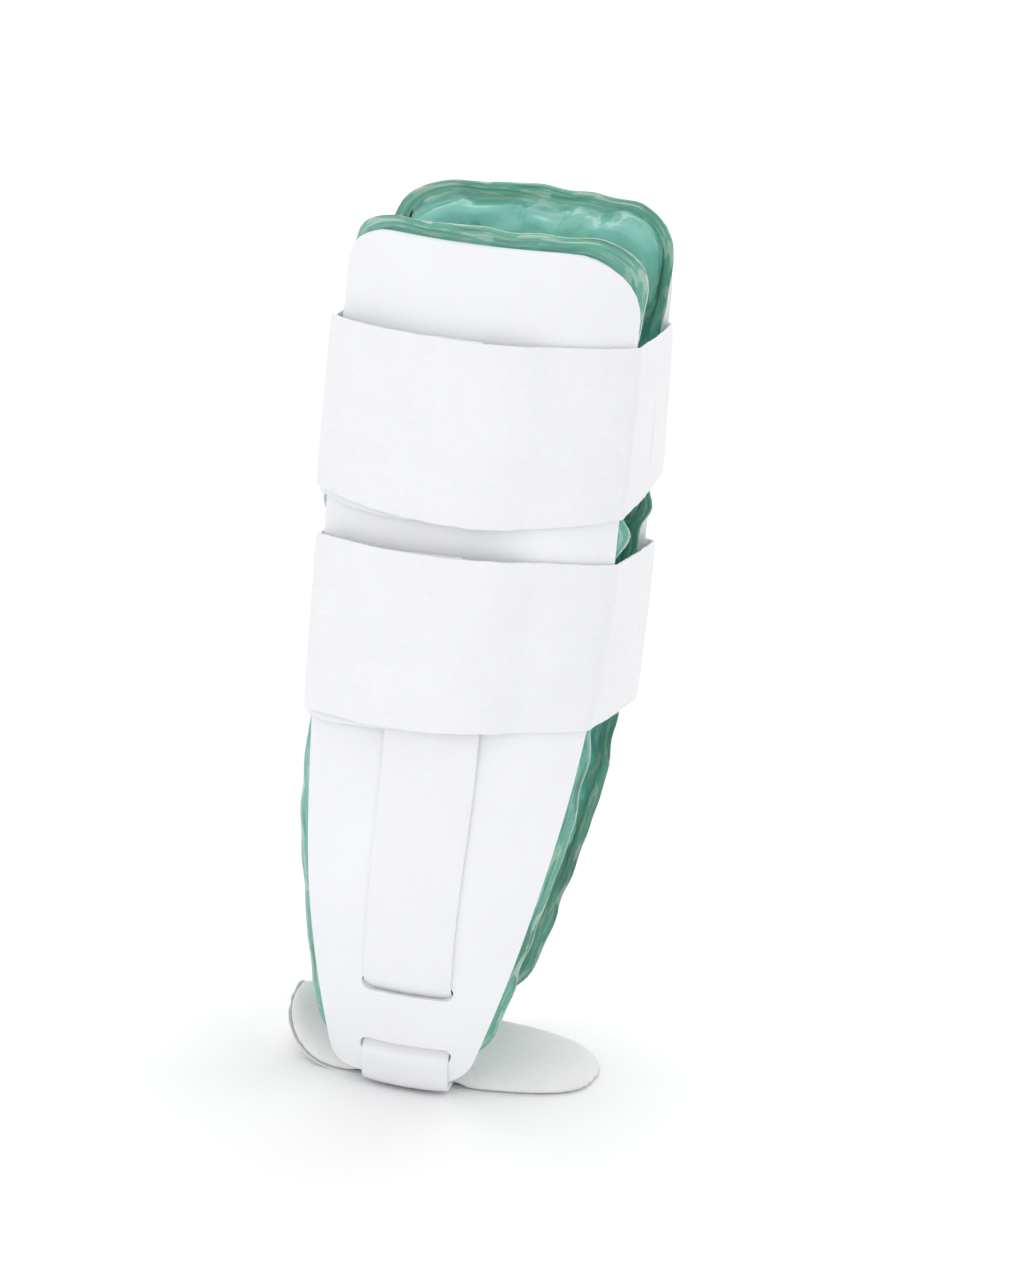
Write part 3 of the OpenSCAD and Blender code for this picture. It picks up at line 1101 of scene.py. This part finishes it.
@dataclass
class Ribbon:
    """Cloth carried along a path, with a soft rounded section.

    The path is the points of the cloth's middle, and outward holds the unit direction through the cloth
    at each of them.
    """

    path: Array
    outward: Array
    thickness: float
    around: int = 44

    def __post_init__(self) -> None:
        """Measure the path."""
        self.along = lengths(self.path)
        self.length = float(self.along[-1])

    def build(self, name: str, low: Array, high: Array, across: Array, seed: int,
              rough: float = 0.25 * MM) -> bpy.types.Object:
        """Make the closed cloth, with a flat oval section and edges made uneven by ripples.

        Args:
            name: name of the piece.
            low: distance from the path to one edge, for each point of the path.
            high: distance to the other edge.
            across: direction across the cloth, one for each point.
            seed: picks the unevenness.
            rough: height of the unevenness.

        Returns:
            The piece, closed at both ends.
        """
        wide, thick = flat_oval(self.around)
        along = self.along[:, None]
        wave = ripple(along, 0 * along + 1, seed, ((23 * MM, rough), (7 * MM, rough * 0.6)))
        middle, half = ((low + high) / 2)[:, None], ((high - low) / 2)[:, None]
        place = middle + half * wide + wave * np.where(wide < 0, 1.0, 0.6)
        surface = ripple(along, place, seed + 5, ((30 * MM, 0.16 * MM), (9 * MM, 0.06 * MM)))
        depth = self.thickness / 2 * thick + surface
        points = (self.path[:, None] + across[:, None] * place[..., None]
                  + self.outward[:, None] * depth[..., None])
        uv = np.stack([np.broadcast_to(along, place.shape), place], -1).reshape(-1, 2)
        piece = make_object(name, points.reshape(-1, 3), grid_faces(*place.shape, ring=True), uv)
        close_ends(piece)
        return piece


@dataclass(frozen=True)
class EdgeLine:
    """Height of a strap's edge round the leg, as offsets behind, at the side's middle and in front."""

    back: float
    middle: float
    front: float

    def at(self, x: Array, reach: float) -> Array:
        """The quadratic through the three offsets, held past the shells' edges.

        Args:
            x: distances forwards of the middle.
            reach: distance of the front and back offsets from the middle.

        Returns:
            The offset at each distance.
        """
        t = np.clip(x / reach, -1, 1)
        rise = (self.front - self.back) / 2
        bow = (self.front + self.back) / 2 - self.middle
        return self.middle + rise * t + bow * t * t


@dataclass
class WrapStrap:
    """One wrap strap: back piece with the inner layer, front piece, and the outer layer over the shell.

    In plan a strap follows each shell on a radius that steps up over the heel strap's tail and over the
    layer inside it, and it turns each shell's edge where the edge is at that height, so the strap leans
    with the shell's outline. A level is a height on the strap's width. An end is 1 in front and -1
    behind. Pairs of sizes are for behind and in front (clear), and for the lower and upper edge
    (stand_off, slant).
    """

    form: LegForm
    wrap: Wrap
    lift: float
    clear: tuple[float, float]
    stand_off: tuple[float, float]
    slant: tuple[float, float]
    low_edge: EdgeLine
    high_edge: EdgeLine
    seed: int
    cloth: float = 1.5 * MM
    tab: float = 0.9 * MM
    tab_cloth: float = 0.7 * MM
    gap: float = 0.3 * MM
    patch_gap: float = 0.2 * MM
    shell_gap: float = 0.25 * MM
    fold: float = 3.2 * MM
    spacing: float = 0.3 * MM
    rows: int = 175
    blend_reach: float = 4.5 * MM
    belly: float = 0.5 * MM
    droop: float = 2.6 * MM
    droop_fade: float = 40 * MM
    inner_end: float = 2.0
    tab_start: float = -12.0
    tab_inset: float = 0.6
    tab_margin: float = 2 * MM
    patch_fade: tuple[float, float] = (17, 30)
    tail_fade: tuple[float, float] = (11, 26)
    layer_fade: tuple[float, float] = (3, 22)
    corner_degrees: float = 46.0

    def __post_init__(self) -> None:
        """Read the strap's height and width from the frame, and work out its radii."""
        low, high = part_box(f"{self.wrap.value}_wrap_outer_flap")
        self.low, self.width = low.z, high.z - low.z
        self.corner = math.asin(self.form.half_width / self.form.radius)
        surface = self.form.radius + self.cloth / 2
        self.over_tail = self.form.radius + self.lift + self.cloth / 2
        self.tail_step = max(0.0, self.over_tail - (surface + self.tab + self.patch_gap))
        self.shell_step = max(0.0, self.over_tail - (surface + self.shell_gap))
        self.layer = self.cloth + self.tab + self.gap

    def inner_radius(self, degrees: Array) -> Array:
        """Radius of the inner layer: over the tail in the middle, and down to the patches beside it."""
        return self.over_tail - self.tail_step * ease(np.abs(degrees), *self.patch_fade)

    def outer_radius(self, degrees: Array) -> Array:
        """Radius of the outer layer: over the inner layer behind, and down to the shell in front.

        Args:
            degrees: angles round the leg, 0 at the side's middle and positive forwards.

        Returns:
            The radius at each angle.
        """
        behind = self.inner_radius(degrees) + self.layer
        before = self.over_tail - self.shell_step * ease(degrees, *self.tail_fade)
        share = ease(degrees, *self.layer_fade)
        return behind * (1 - share) + before * share

    def turn(self, end: int, level: float, side: Side) -> float:
        """How far forwards or backwards the strap turns a shell's edge.

        On the medial side the leg's front holds the strap off the shell by the stand-off.

        Args:
            end: front or back.
            level: level on the strap's width.
            side: which shell.

        Returns:
            The distance from the middle plane.
        """
        h = np.array(self.low + level - self.form.foot_z)
        share = level / self.width
        held = self.stand_off[0] * (1 - share) + self.stand_off[1] * share
        extra = held if side is Side.MEDIAL and end > 0 else 0.0
        return float(self.form.half(h) + end * self.form.middle(h)) + self.clear[end > 0] + extra

    def edges(self, path: Array) -> tuple[Array, Array]:
        """Heights of the strap's two edges along a plan path.

        The slant is what each edge gains at the medial shell's front. It fades evenly over the front
        span, and fades to nothing at the middle of the medial shell.

        Args:
            path: points along the strap.

        Returns:
            Heights of the lower and the upper edge over the strap's lower level.
        """
        x, y = path[:, 0], path[:, 1]
        reach = self.form.half_width
        corner = self.hinge(Side.LATERAL, self.over_tail, 1)[1]
        share = ease(x, 0, 0.9 * reach) * np.clip(0.5 - y / (2 * corner), 0, 1)
        return (self.low_edge.at(x, reach) + self.slant[0] * share,
                self.width + self.high_edge.at(x, reach) + self.slant[1] * share)

    def arc(self, side: Side, radius: Callable[[Array], Array], start: float, end: float) -> Array:
        """Plan points of an arc.

        Args:
            side: which side of the leg.
            radius: radius at an angle in degrees.
            start: first angle.
            end: last angle.

        Returns:
            x and y of its points.
        """
        degrees = np.linspace(start, end, 90)
        r, turn = radius(degrees), np.radians(degrees)
        return np.stack([r * np.sin(turn), side.value * (r * np.cos(turn) - self.form.axis_offset)], -1)

    def angle_of(self, radius: Callable[[Array], Array], end: int, level: float,
                 side: Side = Side.LATERAL) -> float:
        """The angle at which an arc reaches the shell's edge.

        Args:
            radius: radius at an angle in degrees.
            end: front or back.
            level: level on the strap's width.
            side: which shell.

        Returns:
            The angle in degrees.
        """
        reach = float(radius(np.array(end * self.corner_degrees)))
        return end * math.degrees(math.asin(min(0.99, self.turn(end, level, side) / reach)))

    def plan(self, end: int, level: float) -> Array:
        """Plan of the strap from the medial shell's middle, round the front or the back.

        In front it goes on to the outer layer's free end, and behind to the inner layer's. The span
        between the shells bellies out by half a sine.

        Args:
            end: front or back.
            level: level on the strap's width.

        Returns:
            x and y of its points.
        """
        radius = self.outer_radius if end > 0 else self.inner_radius
        stop = self.angle_of(radius, -1, level) if end > 0 else self.inner_end
        near = self.arc(Side.MEDIAL, self.inner_radius, 0,
                        self.angle_of(self.inner_radius, end, level, Side.MEDIAL))
        far = self.arc(Side.LATERAL, radius, self.angle_of(radius, end, level), stop)
        t = np.linspace(0, 1, 30)
        out = end * self.belly * np.sin(math.pi * t)
        span = near[-1] + (far[0] - near[-1]) * t[:, None] + np.stack([out, 0 * out], -1)
        return np.concatenate([near[:-1], span, far[1:]])

    def eased(self, path: Array) -> Array:
        """Space a plan path evenly, with its corners eased by averaging over the fold.

        Args:
            path: x and y of its points.

        Returns:
            x and y of the even points.
        """
        along = lengths(path)
        count = int(along[-1] / self.spacing)
        even = np.linspace(0, along[-1], count)
        dense = np.stack([np.interp(even, along, path[:, k]) for k in (0, 1)], -1)
        half = max(1, int(self.fold / (even[1] - even[0]) / 2))
        padded = np.concatenate([2 * dense[0] - dense[half:0:-1], dense,
                                 2 * dense[-1] - dense[-2:-half - 2:-1]])
        window = np.ones(2 * half + 1) / (2 * half + 1)
        soft = np.stack([np.convolve(padded[:, k], window, "valid") for k in (0, 1)], -1)
        return soft[np.linspace(0, count - 1, self.rows).round().astype(int)]

    def upright(self, lower: Array, upper: Array, thickness: float) -> tuple[Ribbon, Array]:
        """Cloth that stands on the plan of its lower edge and leans to the plan of its upper edge.

        Args:
            lower: plan of the lower edge.
            upper: plan of the upper edge, with as many points.
            thickness: the cloth's thickness.

        Returns:
            The ribbon, and its direction across the cloth at each point.
        """
        tangent = np.gradient((lower + upper) / 2, axis=0)
        tangent /= np.linalg.norm(tangent, axis=1, keepdims=True)
        outward = np.stack([tangent[:, 1], -tangent[:, 0], 0 * tangent[:, 0]], -1)
        outward *= np.sign(np.sum(lower * outward[:, :2], axis=1).mean())
        path = np.column_stack([lower, np.full(len(lower), self.low)])
        across = np.column_stack([(upper - lower) / self.width, np.ones(len(lower))])
        return Ribbon(path, outward, thickness), across

    def hinge(self, side: Side, radius: float, end: int) -> Array:
        """Plan place of a hinge at a shell's edge.

        Args:
            side: which shell.
            radius: the strap's radius there.
            end: front or back.

        Returns:
            Its x and y.
        """
        turn = end * self.corner
        return np.array([radius * math.sin(turn),
                         side.value * (radius * math.cos(turn) - self.form.axis_offset)])

    def piece(self, label: str, end: int, part: slice, hinge: Array, heading: int,
              bodies: tuple[str, str], nodes: Sequence[str], dress: Dressing) -> None:
        """Make one cut piece of the strap.

        Args:
            label: end of its name.
            end: whether it goes round the front or the back.
            part: which of the plan's points it takes.
            hinge: plan place of its hinge. Not used.
            heading: 1 if it crosses the hinge forwards, or -1. Not used.
            bodies: the bodies before and after the hinge. Not used.
            nodes: the CAD nodes it stands for, without the strap's name.
            dress: puts the finish on it.
        """
        name = self.wrap.value
        lower, upper = (self.eased(self.plan(end, level))[part] for level in (0.0, self.width))
        cloth, across = self.upright(lower, upper, self.cloth)
        hang = (self.droop if end < 0 else 0.0) * ease(cloth.length - cloth.along, 0, self.droop_fade)
        low, high = self.edges(cloth.path)
        made = cloth.build(f"{name}_wrap_{label}", low - hang, high - hang * 0.4, across,
                           self.seed + (end > 0))
        dress.finish(made, dress.finishes.fabric, [f"{name}_wrap_{node}" for node in nodes])
        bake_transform(made)

    def hook_tab(self, dress: Dressing) -> None:
        """Make the hook tab sewn inside the outer layer's free end.

        Args:
            dress: puts the finish on it.
        """
        def inside(degrees: Array) -> Array:
            """Radius midway between the two layers."""
            return self.outer_radius(degrees) - (self.cloth + self.tab) / 2

        name = self.wrap.value
        lower, upper = (self.arc(Side.LATERAL, inside,
                                 self.angle_of(self.outer_radius, -1, level) + self.tab_inset,
                                 self.tab_start)[::3] for level in (0.0, self.width))
        tape, across = self.upright(lower, upper, self.tab_cloth)
        low, high = self.edges(tape.path)
        made = tape.build(f"{name}_wrap_sewn_hook_tab", low + self.tab_margin, high - self.tab_margin,
                          across, 71, 0.05 * MM)
        dress.finish(made, dress.finishes.hook, [f"{name}_wrap_hook_tab"], f"{name}_outer")

    def build(self, dress: Dressing) -> None:
        """Make the strap's three pieces and its hook tab.

        Args:
            dress: puts the finishes on them.
        """
        name = self.wrap.value
        middle = self.eased(self.plan(1, self.width / 2))
        cut = int(np.argmin(np.abs(middle[:, 1]) + (middle[:, 0] < 0.9 * self.form.half_width)))
        self.piece("back_and_inner_layer", -1, slice(None), self.hinge(Side.MEDIAL, self.over_tail, -1),
                   -1, ("medial_side", f"{name}_back"), ["back_flap"], dress)
        self.piece("medial_and_front", 1, slice(0, cut + 1), self.hinge(Side.MEDIAL, self.over_tail, 1),
                   1, ("medial_side", f"{name}_front"), ["medial_band"], dress)
        self.piece("outer_layer", 1, slice(cut, None),
                   self.hinge(Side.LATERAL, self.over_tail + self.layer, 1), -1,
                   (f"{name}_front", f"{name}_outer"), ["front_span", "outer_flap"], dress)
        self.hook_tab(dress)


@dataclass
class HeelStrap:
    """The heel strap: from under the heel, round each shell's foot and through its slots."""

    form: LegForm
    shell: SideShell
    cloth: float = 1.3 * MM
    tab: float = 0.9 * MM
    lead: float = 0.5 * MM
    shell_gap: float = 0.15 * MM
    tail_top: float = 132 * MM
    tab_length: float = 29 * MM
    widening: float = 1.5 * MM
    widening_reach: tuple[float, float] = (30 * MM, 100 * MM)
    flex_past: float = 0.8 * MM
    flex_reach: float = 2 * MM
    around: int = 40
    rows: int = 150
    under_rows: int = 33

    def __post_init__(self) -> None:
        """Read the strap's middle part from the frame."""
        low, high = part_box("heel_strap_middle")
        self.half, self.flat_z = (high.x - low.x) / 2, (low.z + high.z) / 2
        self.flex = high.y + self.flex_past

    def line(self) -> Array:
        """Middle line as (distance outside the shell's face, height), from the foot to the tail's end."""
        out = self.shell_gap + self.cloth / 2
        under = self.flat_z - self.form.foot_z
        inside = -self.form.wall - 0.1 * MM - self.cloth / 2
        low, high, tall = self.shell.lower_slot, self.shell.upper_slot, self.shell.slot_height
        tab_foot = self.tail_top - self.tab_length
        behind = np.linspace(low + tall - 0.3 * MM, high + 0.3 * MM, 4)
        free = np.arange(high + tall - self.lead, tab_foot - 6 * MM, 6 * MM)
        end = np.arange(tab_foot, self.tail_top, 7 * MM)
        tail = self.tab + self.cloth / 2
        return np.array([(-0.6 * MM, under + 0.1 * MM), (0.45 * MM, under + 0.7 * MM),
                         (out, under + 2 * MM), (out, 2 * MM), (out, low + self.lead),
                         *[(inside, h) for h in behind],
                         *[(out, h) for h in free], *[(tail, h) for h in end], (tail, self.tail_top)])

    def build(self, side: Side, dress: Dressing) -> None:
        """Make one half of the strap, from the middle of the heel to the tail's end.

        The section's points keep their x, and each follows the shell's circle, so the cloth is curved as
        the shell is. Under the heel it is flat and blends into the curve by the cube of the way there.

        Args:
            side: which half.
            dress: puts the finish on it.
        """
        line = self.line()
        steps = lengths(line)
        fine = np.linspace(0, steps[-1], self.rows)
        o, h = (np.interp(fine, steps, line[:, k]) for k in (0, 1))
        o, h = (np.convolve(np.pad(v, 1, "edge"), [0.25, 0.5, 0.25], "valid") for v in (o, h))
        wide, thick = flat_oval(self.around)
        thick = thick * self.cloth / 2
        x = self.shell.strap_x + self.half * wide[None, :]
        x = x + self.widening * ease(h, *self.widening_reach)[:, None] * (1 + wide) / 2
        slope = np.gradient(np.stack([o + self.form.r(h), h], -1), axis=0)
        slope /= np.linalg.norm(slope, axis=1, keepdims=True)
        body = self.form.bend(side, x, h[:, None] - slope[:, :1] * thick, o[:, None] + slope[:, 1:] * thick)
        ramp = np.linspace(0, 1, self.under_rows + 1)[:-1, None]
        rise = ramp ** 3
        flat_y = side.value * np.abs(body[0, :, 1]) * ramp
        under = np.stack([np.broadcast_to(x[:1], flat_y.shape), flat_y,
                          (self.flat_z - thick) * (1 - rise) + body[0, :, 2] * rise], -1)
        points = np.concatenate([under, body])
        along = lengths(points[:, 0])
        uv = np.stack([np.broadcast_to(along[:, None], points.shape[:2]), points[..., 0]], -1)
        piece = make_object(f"heel_strap_{side.label}_half", points.reshape(-1, 3),
                            grid_faces(*points.shape[:2], ring=True), uv.reshape(-1, 2))
        close_ends(piece)
        nodes = [f"heel_strap_{side.label}_end"] + (["heel_strap_middle"] if side is Side.LATERAL else [])
        dress.finish(piece, dress.finishes.webbing, nodes)
        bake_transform(piece)


@dataclass
class HeelPad:
    """The heel pad: a soft fuzzy cushion over a thin sole, curled up behind the heel."""

    curl_radius: float = 19 * MM
    curl_angle: float = math.radians(76)
    curl_share: float = 0.98
    cushion_depth: float = 4.9 * MM
    cushion_inset: float = 0.4 * MM
    outline_power: float = 0.74
    strap_room: tuple[float, float] = (0.5 * MM, 5.5 * MM)
    around: int = 120
    rings: int = 26

    def __post_init__(self) -> None:
        """Read the pad's outline and the strap's channel from the frame."""
        self.low, self.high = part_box("heel_pad_base_cover")
        self.strap_low, self.strap_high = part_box("heel_strap_middle")
        self.start = self.low.x + self.curl_radius * math.sin(self.curl_angle)
        self.strap_half = (self.strap_high.x - self.strap_low.x) / 2
        self.strap_middle = self.strap_low.x + self.strap_half - self.start

    def place(self, s: Array, z: Array) -> tuple[Array, Array]:
        """Roll the layer up behind, round a circle of the curl's radius. Forwards it stays flat.

        Args:
            s: distances forwards of the curl.
            z: heights in the layer.

        Returns:
            x and z of each point.
        """
        angle = np.clip(-s / self.curl_radius, 0, self.curl_angle)
        x = np.where(s > 0, s, -(self.curl_radius - z) * np.sin(angle))
        up = np.where(s > 0, z, self.curl_radius - (self.curl_radius - z) * np.cos(angle))
        return x + self.start, up

    def layer(self, name: str, low: float, high: float, meet: float, inset: float, seed: int,
              crown: float) -> bpy.types.Object:
        """A closed layer with a long oval outline and soft, uneven edges.

        A polar grid covers the oval, whose rim is a power of cos and sin. The layer is flat below, and its
        top falls at the rim as the root of one minus the sixth power of the radius. Beside the strap it
        comes down to meet the layer below.

        Args:
            name: name of the piece.
            low: height of its underside over the strap.
            high: height of its top over the strap.
            meet: height of its underside beside the strap.
            inset: distance in from the frame's outline.
            seed: picks the unevenness.
            crown: size of the lumps on top.

        Returns:
            The piece.
        """
        front, wide = self.high.x - inset, (self.high.y - self.low.y) / 2 - inset
        reach_back = self.curl_radius * self.curl_angle * self.curl_share - inset
        centre = (front - self.start - reach_back) / 2
        long = (front - self.start + reach_back) / 2
        turn = np.linspace(0, 2 * math.pi, self.around, endpoint=False)
        share = np.sin(np.linspace(0.0, math.pi / 2, self.rings))[:, None]
        rim_x, rim_y = (signed_power(wave, self.outline_power) for wave in (np.cos(turn), np.sin(turn)))
        edge = 1 + ripple(turn * 30 * MM, 0 * turn, seed, ((16 * MM, 0.012), (5 * MM, 0.01)))
        uneven = 1 + (edge - 1) * share ** 3
        s = centre + long * share * rim_x * uneven
        y = wide * share * rim_y * np.minimum(1, uneven)
        full = (1 - share ** 6) ** 0.5 + 0 * s
        lump = ripple(s, y, seed + 2, ((22 * MM, 0.25 * MM), (8 * MM, 0.12 * MM))) * crown
        beside = ease(np.abs(s - self.strap_middle) - self.strap_half, *self.strap_room)
        bottom = low - (low - meet) * beside
        top = bottom + (high - low) * full + (0.5 * (low - meet) * beside + lump) * full
        points = []
        for z in (bottom, top):
            x, up = self.place(s, z)
            points.append(np.stack([x, y, up], -1).reshape(-1, 3))
        faces = grid_faces(*s.shape, ring=True)
        uv = np.concatenate([np.stack([s.ravel(), y.ravel()], -1)] * 2)
        piece = make_object(name, np.concatenate(points),
                            np.concatenate([faces[:, ::-1], faces + s.size]), uv)
        merge_rim(piece)
        return piece

    def build(self, dress: Dressing) -> None:
        """Make the sole and the cushion.

        Args:
            dress: puts the finishes on them.
        """
        sole = self.layer("heel_pad_sole", self.low.z, self.strap_low.z, self.low.z, 0.0, 41, 0.0)
        dress.finish(sole, dress.finishes.heel, ["heel_pad_base_cover"], "heel_base")
        cushion = self.layer("heel_pad_cushion", self.strap_high.z, self.strap_high.z + self.cushion_depth,
                             self.strap_low.z, self.cushion_inset, 43, 1.0)
        dress.finish(cushion, dress.finishes.heel,
                     ["heel_pad_foam", "heel_pad_top_cover"], "heel_base")


@dataclass(frozen=True)
class Lamp:
    """A square area light, aimed at the object's middle or at a target of its own."""

    name: str
    place: tuple[float, float, float]
    size: float
    power: float
    target: tuple[float, float, float] | None = None

    def build(self, aim: Vector) -> None:
        """Put the light in the scene.

        Args:
            aim: the object's middle.
        """
        data = bpy.data.lights.new(self.name, "AREA")
        data.size, data.energy = self.size, self.power
        lamp = bpy.data.objects.new(self.name, data)
        lamp.location = self.place
        lamp.rotation_mode = "QUATERNION"
        target = Vector(self.target) if self.target else aim
        lamp.rotation_quaternion = (target - Vector(self.place)).to_track_quat("-Z", "Y")
        bpy.context.scene.collection.objects.link(lamp)


@dataclass
class Studio:
    """Plain pale floor, soft lights and the camera."""

    aim: Vector = field(default_factory=lambda: Vector((0.0, -0.030, 0.125)))
    azimuth: float = math.radians(8.5)
    elevation: float = math.radians(13.5)
    roll: float = math.radians(5.7)
    distance: float = 1.25
    lens: float = 128.9
    slide: tuple[float, float] = (0.0146, 0.0064)
    surroundings: float = 0.86
    floor_reach: float = 6.0
    lamps: tuple[Lamp, ...] = (
        Lamp("key", (-0.75, -1.6, 0.75), 1.2, 3.5),
        Lamp("low_fill", (0.15, -1.9, 0.15), 1.2, 2.6),
        Lamp("overhead", (0.0, 0.2, 2.3), 2.6, 13),
        Lamp("backdrop", (0.2, 3.6, 3.0), 4.0, 60, (0.2, 3.6, 0.0)),
        Lamp("rim", (0.5, 1.5, 0.9), 1.0, 2.2))

    def camera(self) -> None:
        """Place the camera on its bearing, rolled, and slid in its own plane."""
        a, e = self.azimuth, self.elevation
        back = Vector((math.sin(a) * math.cos(e), -math.cos(a) * math.cos(e), math.sin(e)))
        right = Vector((math.cos(a), math.sin(a), 0))
        up = back.cross(right)
        c, s = math.cos(self.roll), math.sin(self.roll)
        rolled_right, rolled_up = right * c + up * s, up * c - right * s
        place = self.aim + back * self.distance + rolled_right * self.slide[0] + rolled_up * self.slide[1]
        data = bpy.data.cameras.new("camera")
        data.lens, data.sensor_width = self.lens, 36
        camera = bpy.data.objects.new("camera", data)
        camera.matrix_world = Matrix.Translation(place) @ Matrix(
            (rolled_right, rolled_up, back)).transposed().to_4x4()
        bpy.context.scene.collection.objects.link(camera)
        bpy.context.scene.camera = camera

    def floor(self) -> None:
        """Lay a wide pale floor."""
        far = self.floor_reach
        corners = np.array([(-far, -far, 0), (far, -far, 0), (far, far, 0), (-far, far, 0)])
        floor = make_object("floor", corners, np.array([[0, 1, 2, 3]]))
        s = Shader("floor_paper")
        cloud = s.noise(s.place(), 3, 2)
        s.set(Base_Color=s.ramp(cloud, (0.0, (0.9, 0.9, 0.9)), (1.0, (0.92, 0.92, 0.92))), Roughness=0.8)
        floor.data.materials.append(s.material)

    def build(self) -> None:
        """Set up the whole studio."""
        scene = bpy.context.scene
        world = bpy.data.worlds.new("studio")
        world.use_nodes = True
        background = world.node_tree.nodes["Background"]
        background.inputs["Color"].default_value = (1, 1, 1, 1)
        background.inputs["Strength"].default_value = self.surroundings
        scene.world = world
        scene.view_settings.view_transform = "Standard"
        self.floor()
        for lamp in self.lamps:
            lamp.build(self.aim)
        self.camera()


def main() -> None:
    """Build every sub-assembly in order."""
    logging.basicConfig(level=logging.INFO, format="%(name)s %(message)s")
    form = LegForm()
    Studio().build()
    dress = Dressing(Finishes())
    dress.carry_over(dress.finishes.hook, ("hook",))
    shell, pad = SideShell(form), GelPad(form)
    heel_strap = HeelStrap(form, shell)
    for side in Side:
        shell.build(side, dress)
        pad.build(side, dress)
        heel_strap.build(side, dress)
    HeelPad().build(dress)
    WrapStrap(form, Wrap.UPPER, lift=1.2 * MM, clear=(2.0 * MM, 0.8 * MM), stand_off=(2.0 * MM, 0.0),
              slant=(2.0 * MM, -3.0 * MM), seed=11,
              low_edge=EdgeLine(1.4 * MM, -1.4 * MM, 1.7 * MM),
              high_edge=EdgeLine(-1.1 * MM, -0.9 * MM, -0.7 * MM)).build(dress)
    WrapStrap(form, Wrap.LOWER, lift=2.5 * MM, clear=(0.6 * MM, 0.7 * MM), stand_off=(3.8 * MM, 2.2 * MM),
              slant=(-7.0 * MM, -6.0 * MM), seed=29,
              low_edge=EdgeLine(-2.8 * MM, -0.3 * MM, 0.9 * MM),
              high_edge=EdgeLine(-3.5 * MM, -1.6 * MM, -2.5 * MM)).build(dress)
    log.info("%d pieces", len(dress.made))


if __name__ == "__main__":
    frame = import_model()
    main()
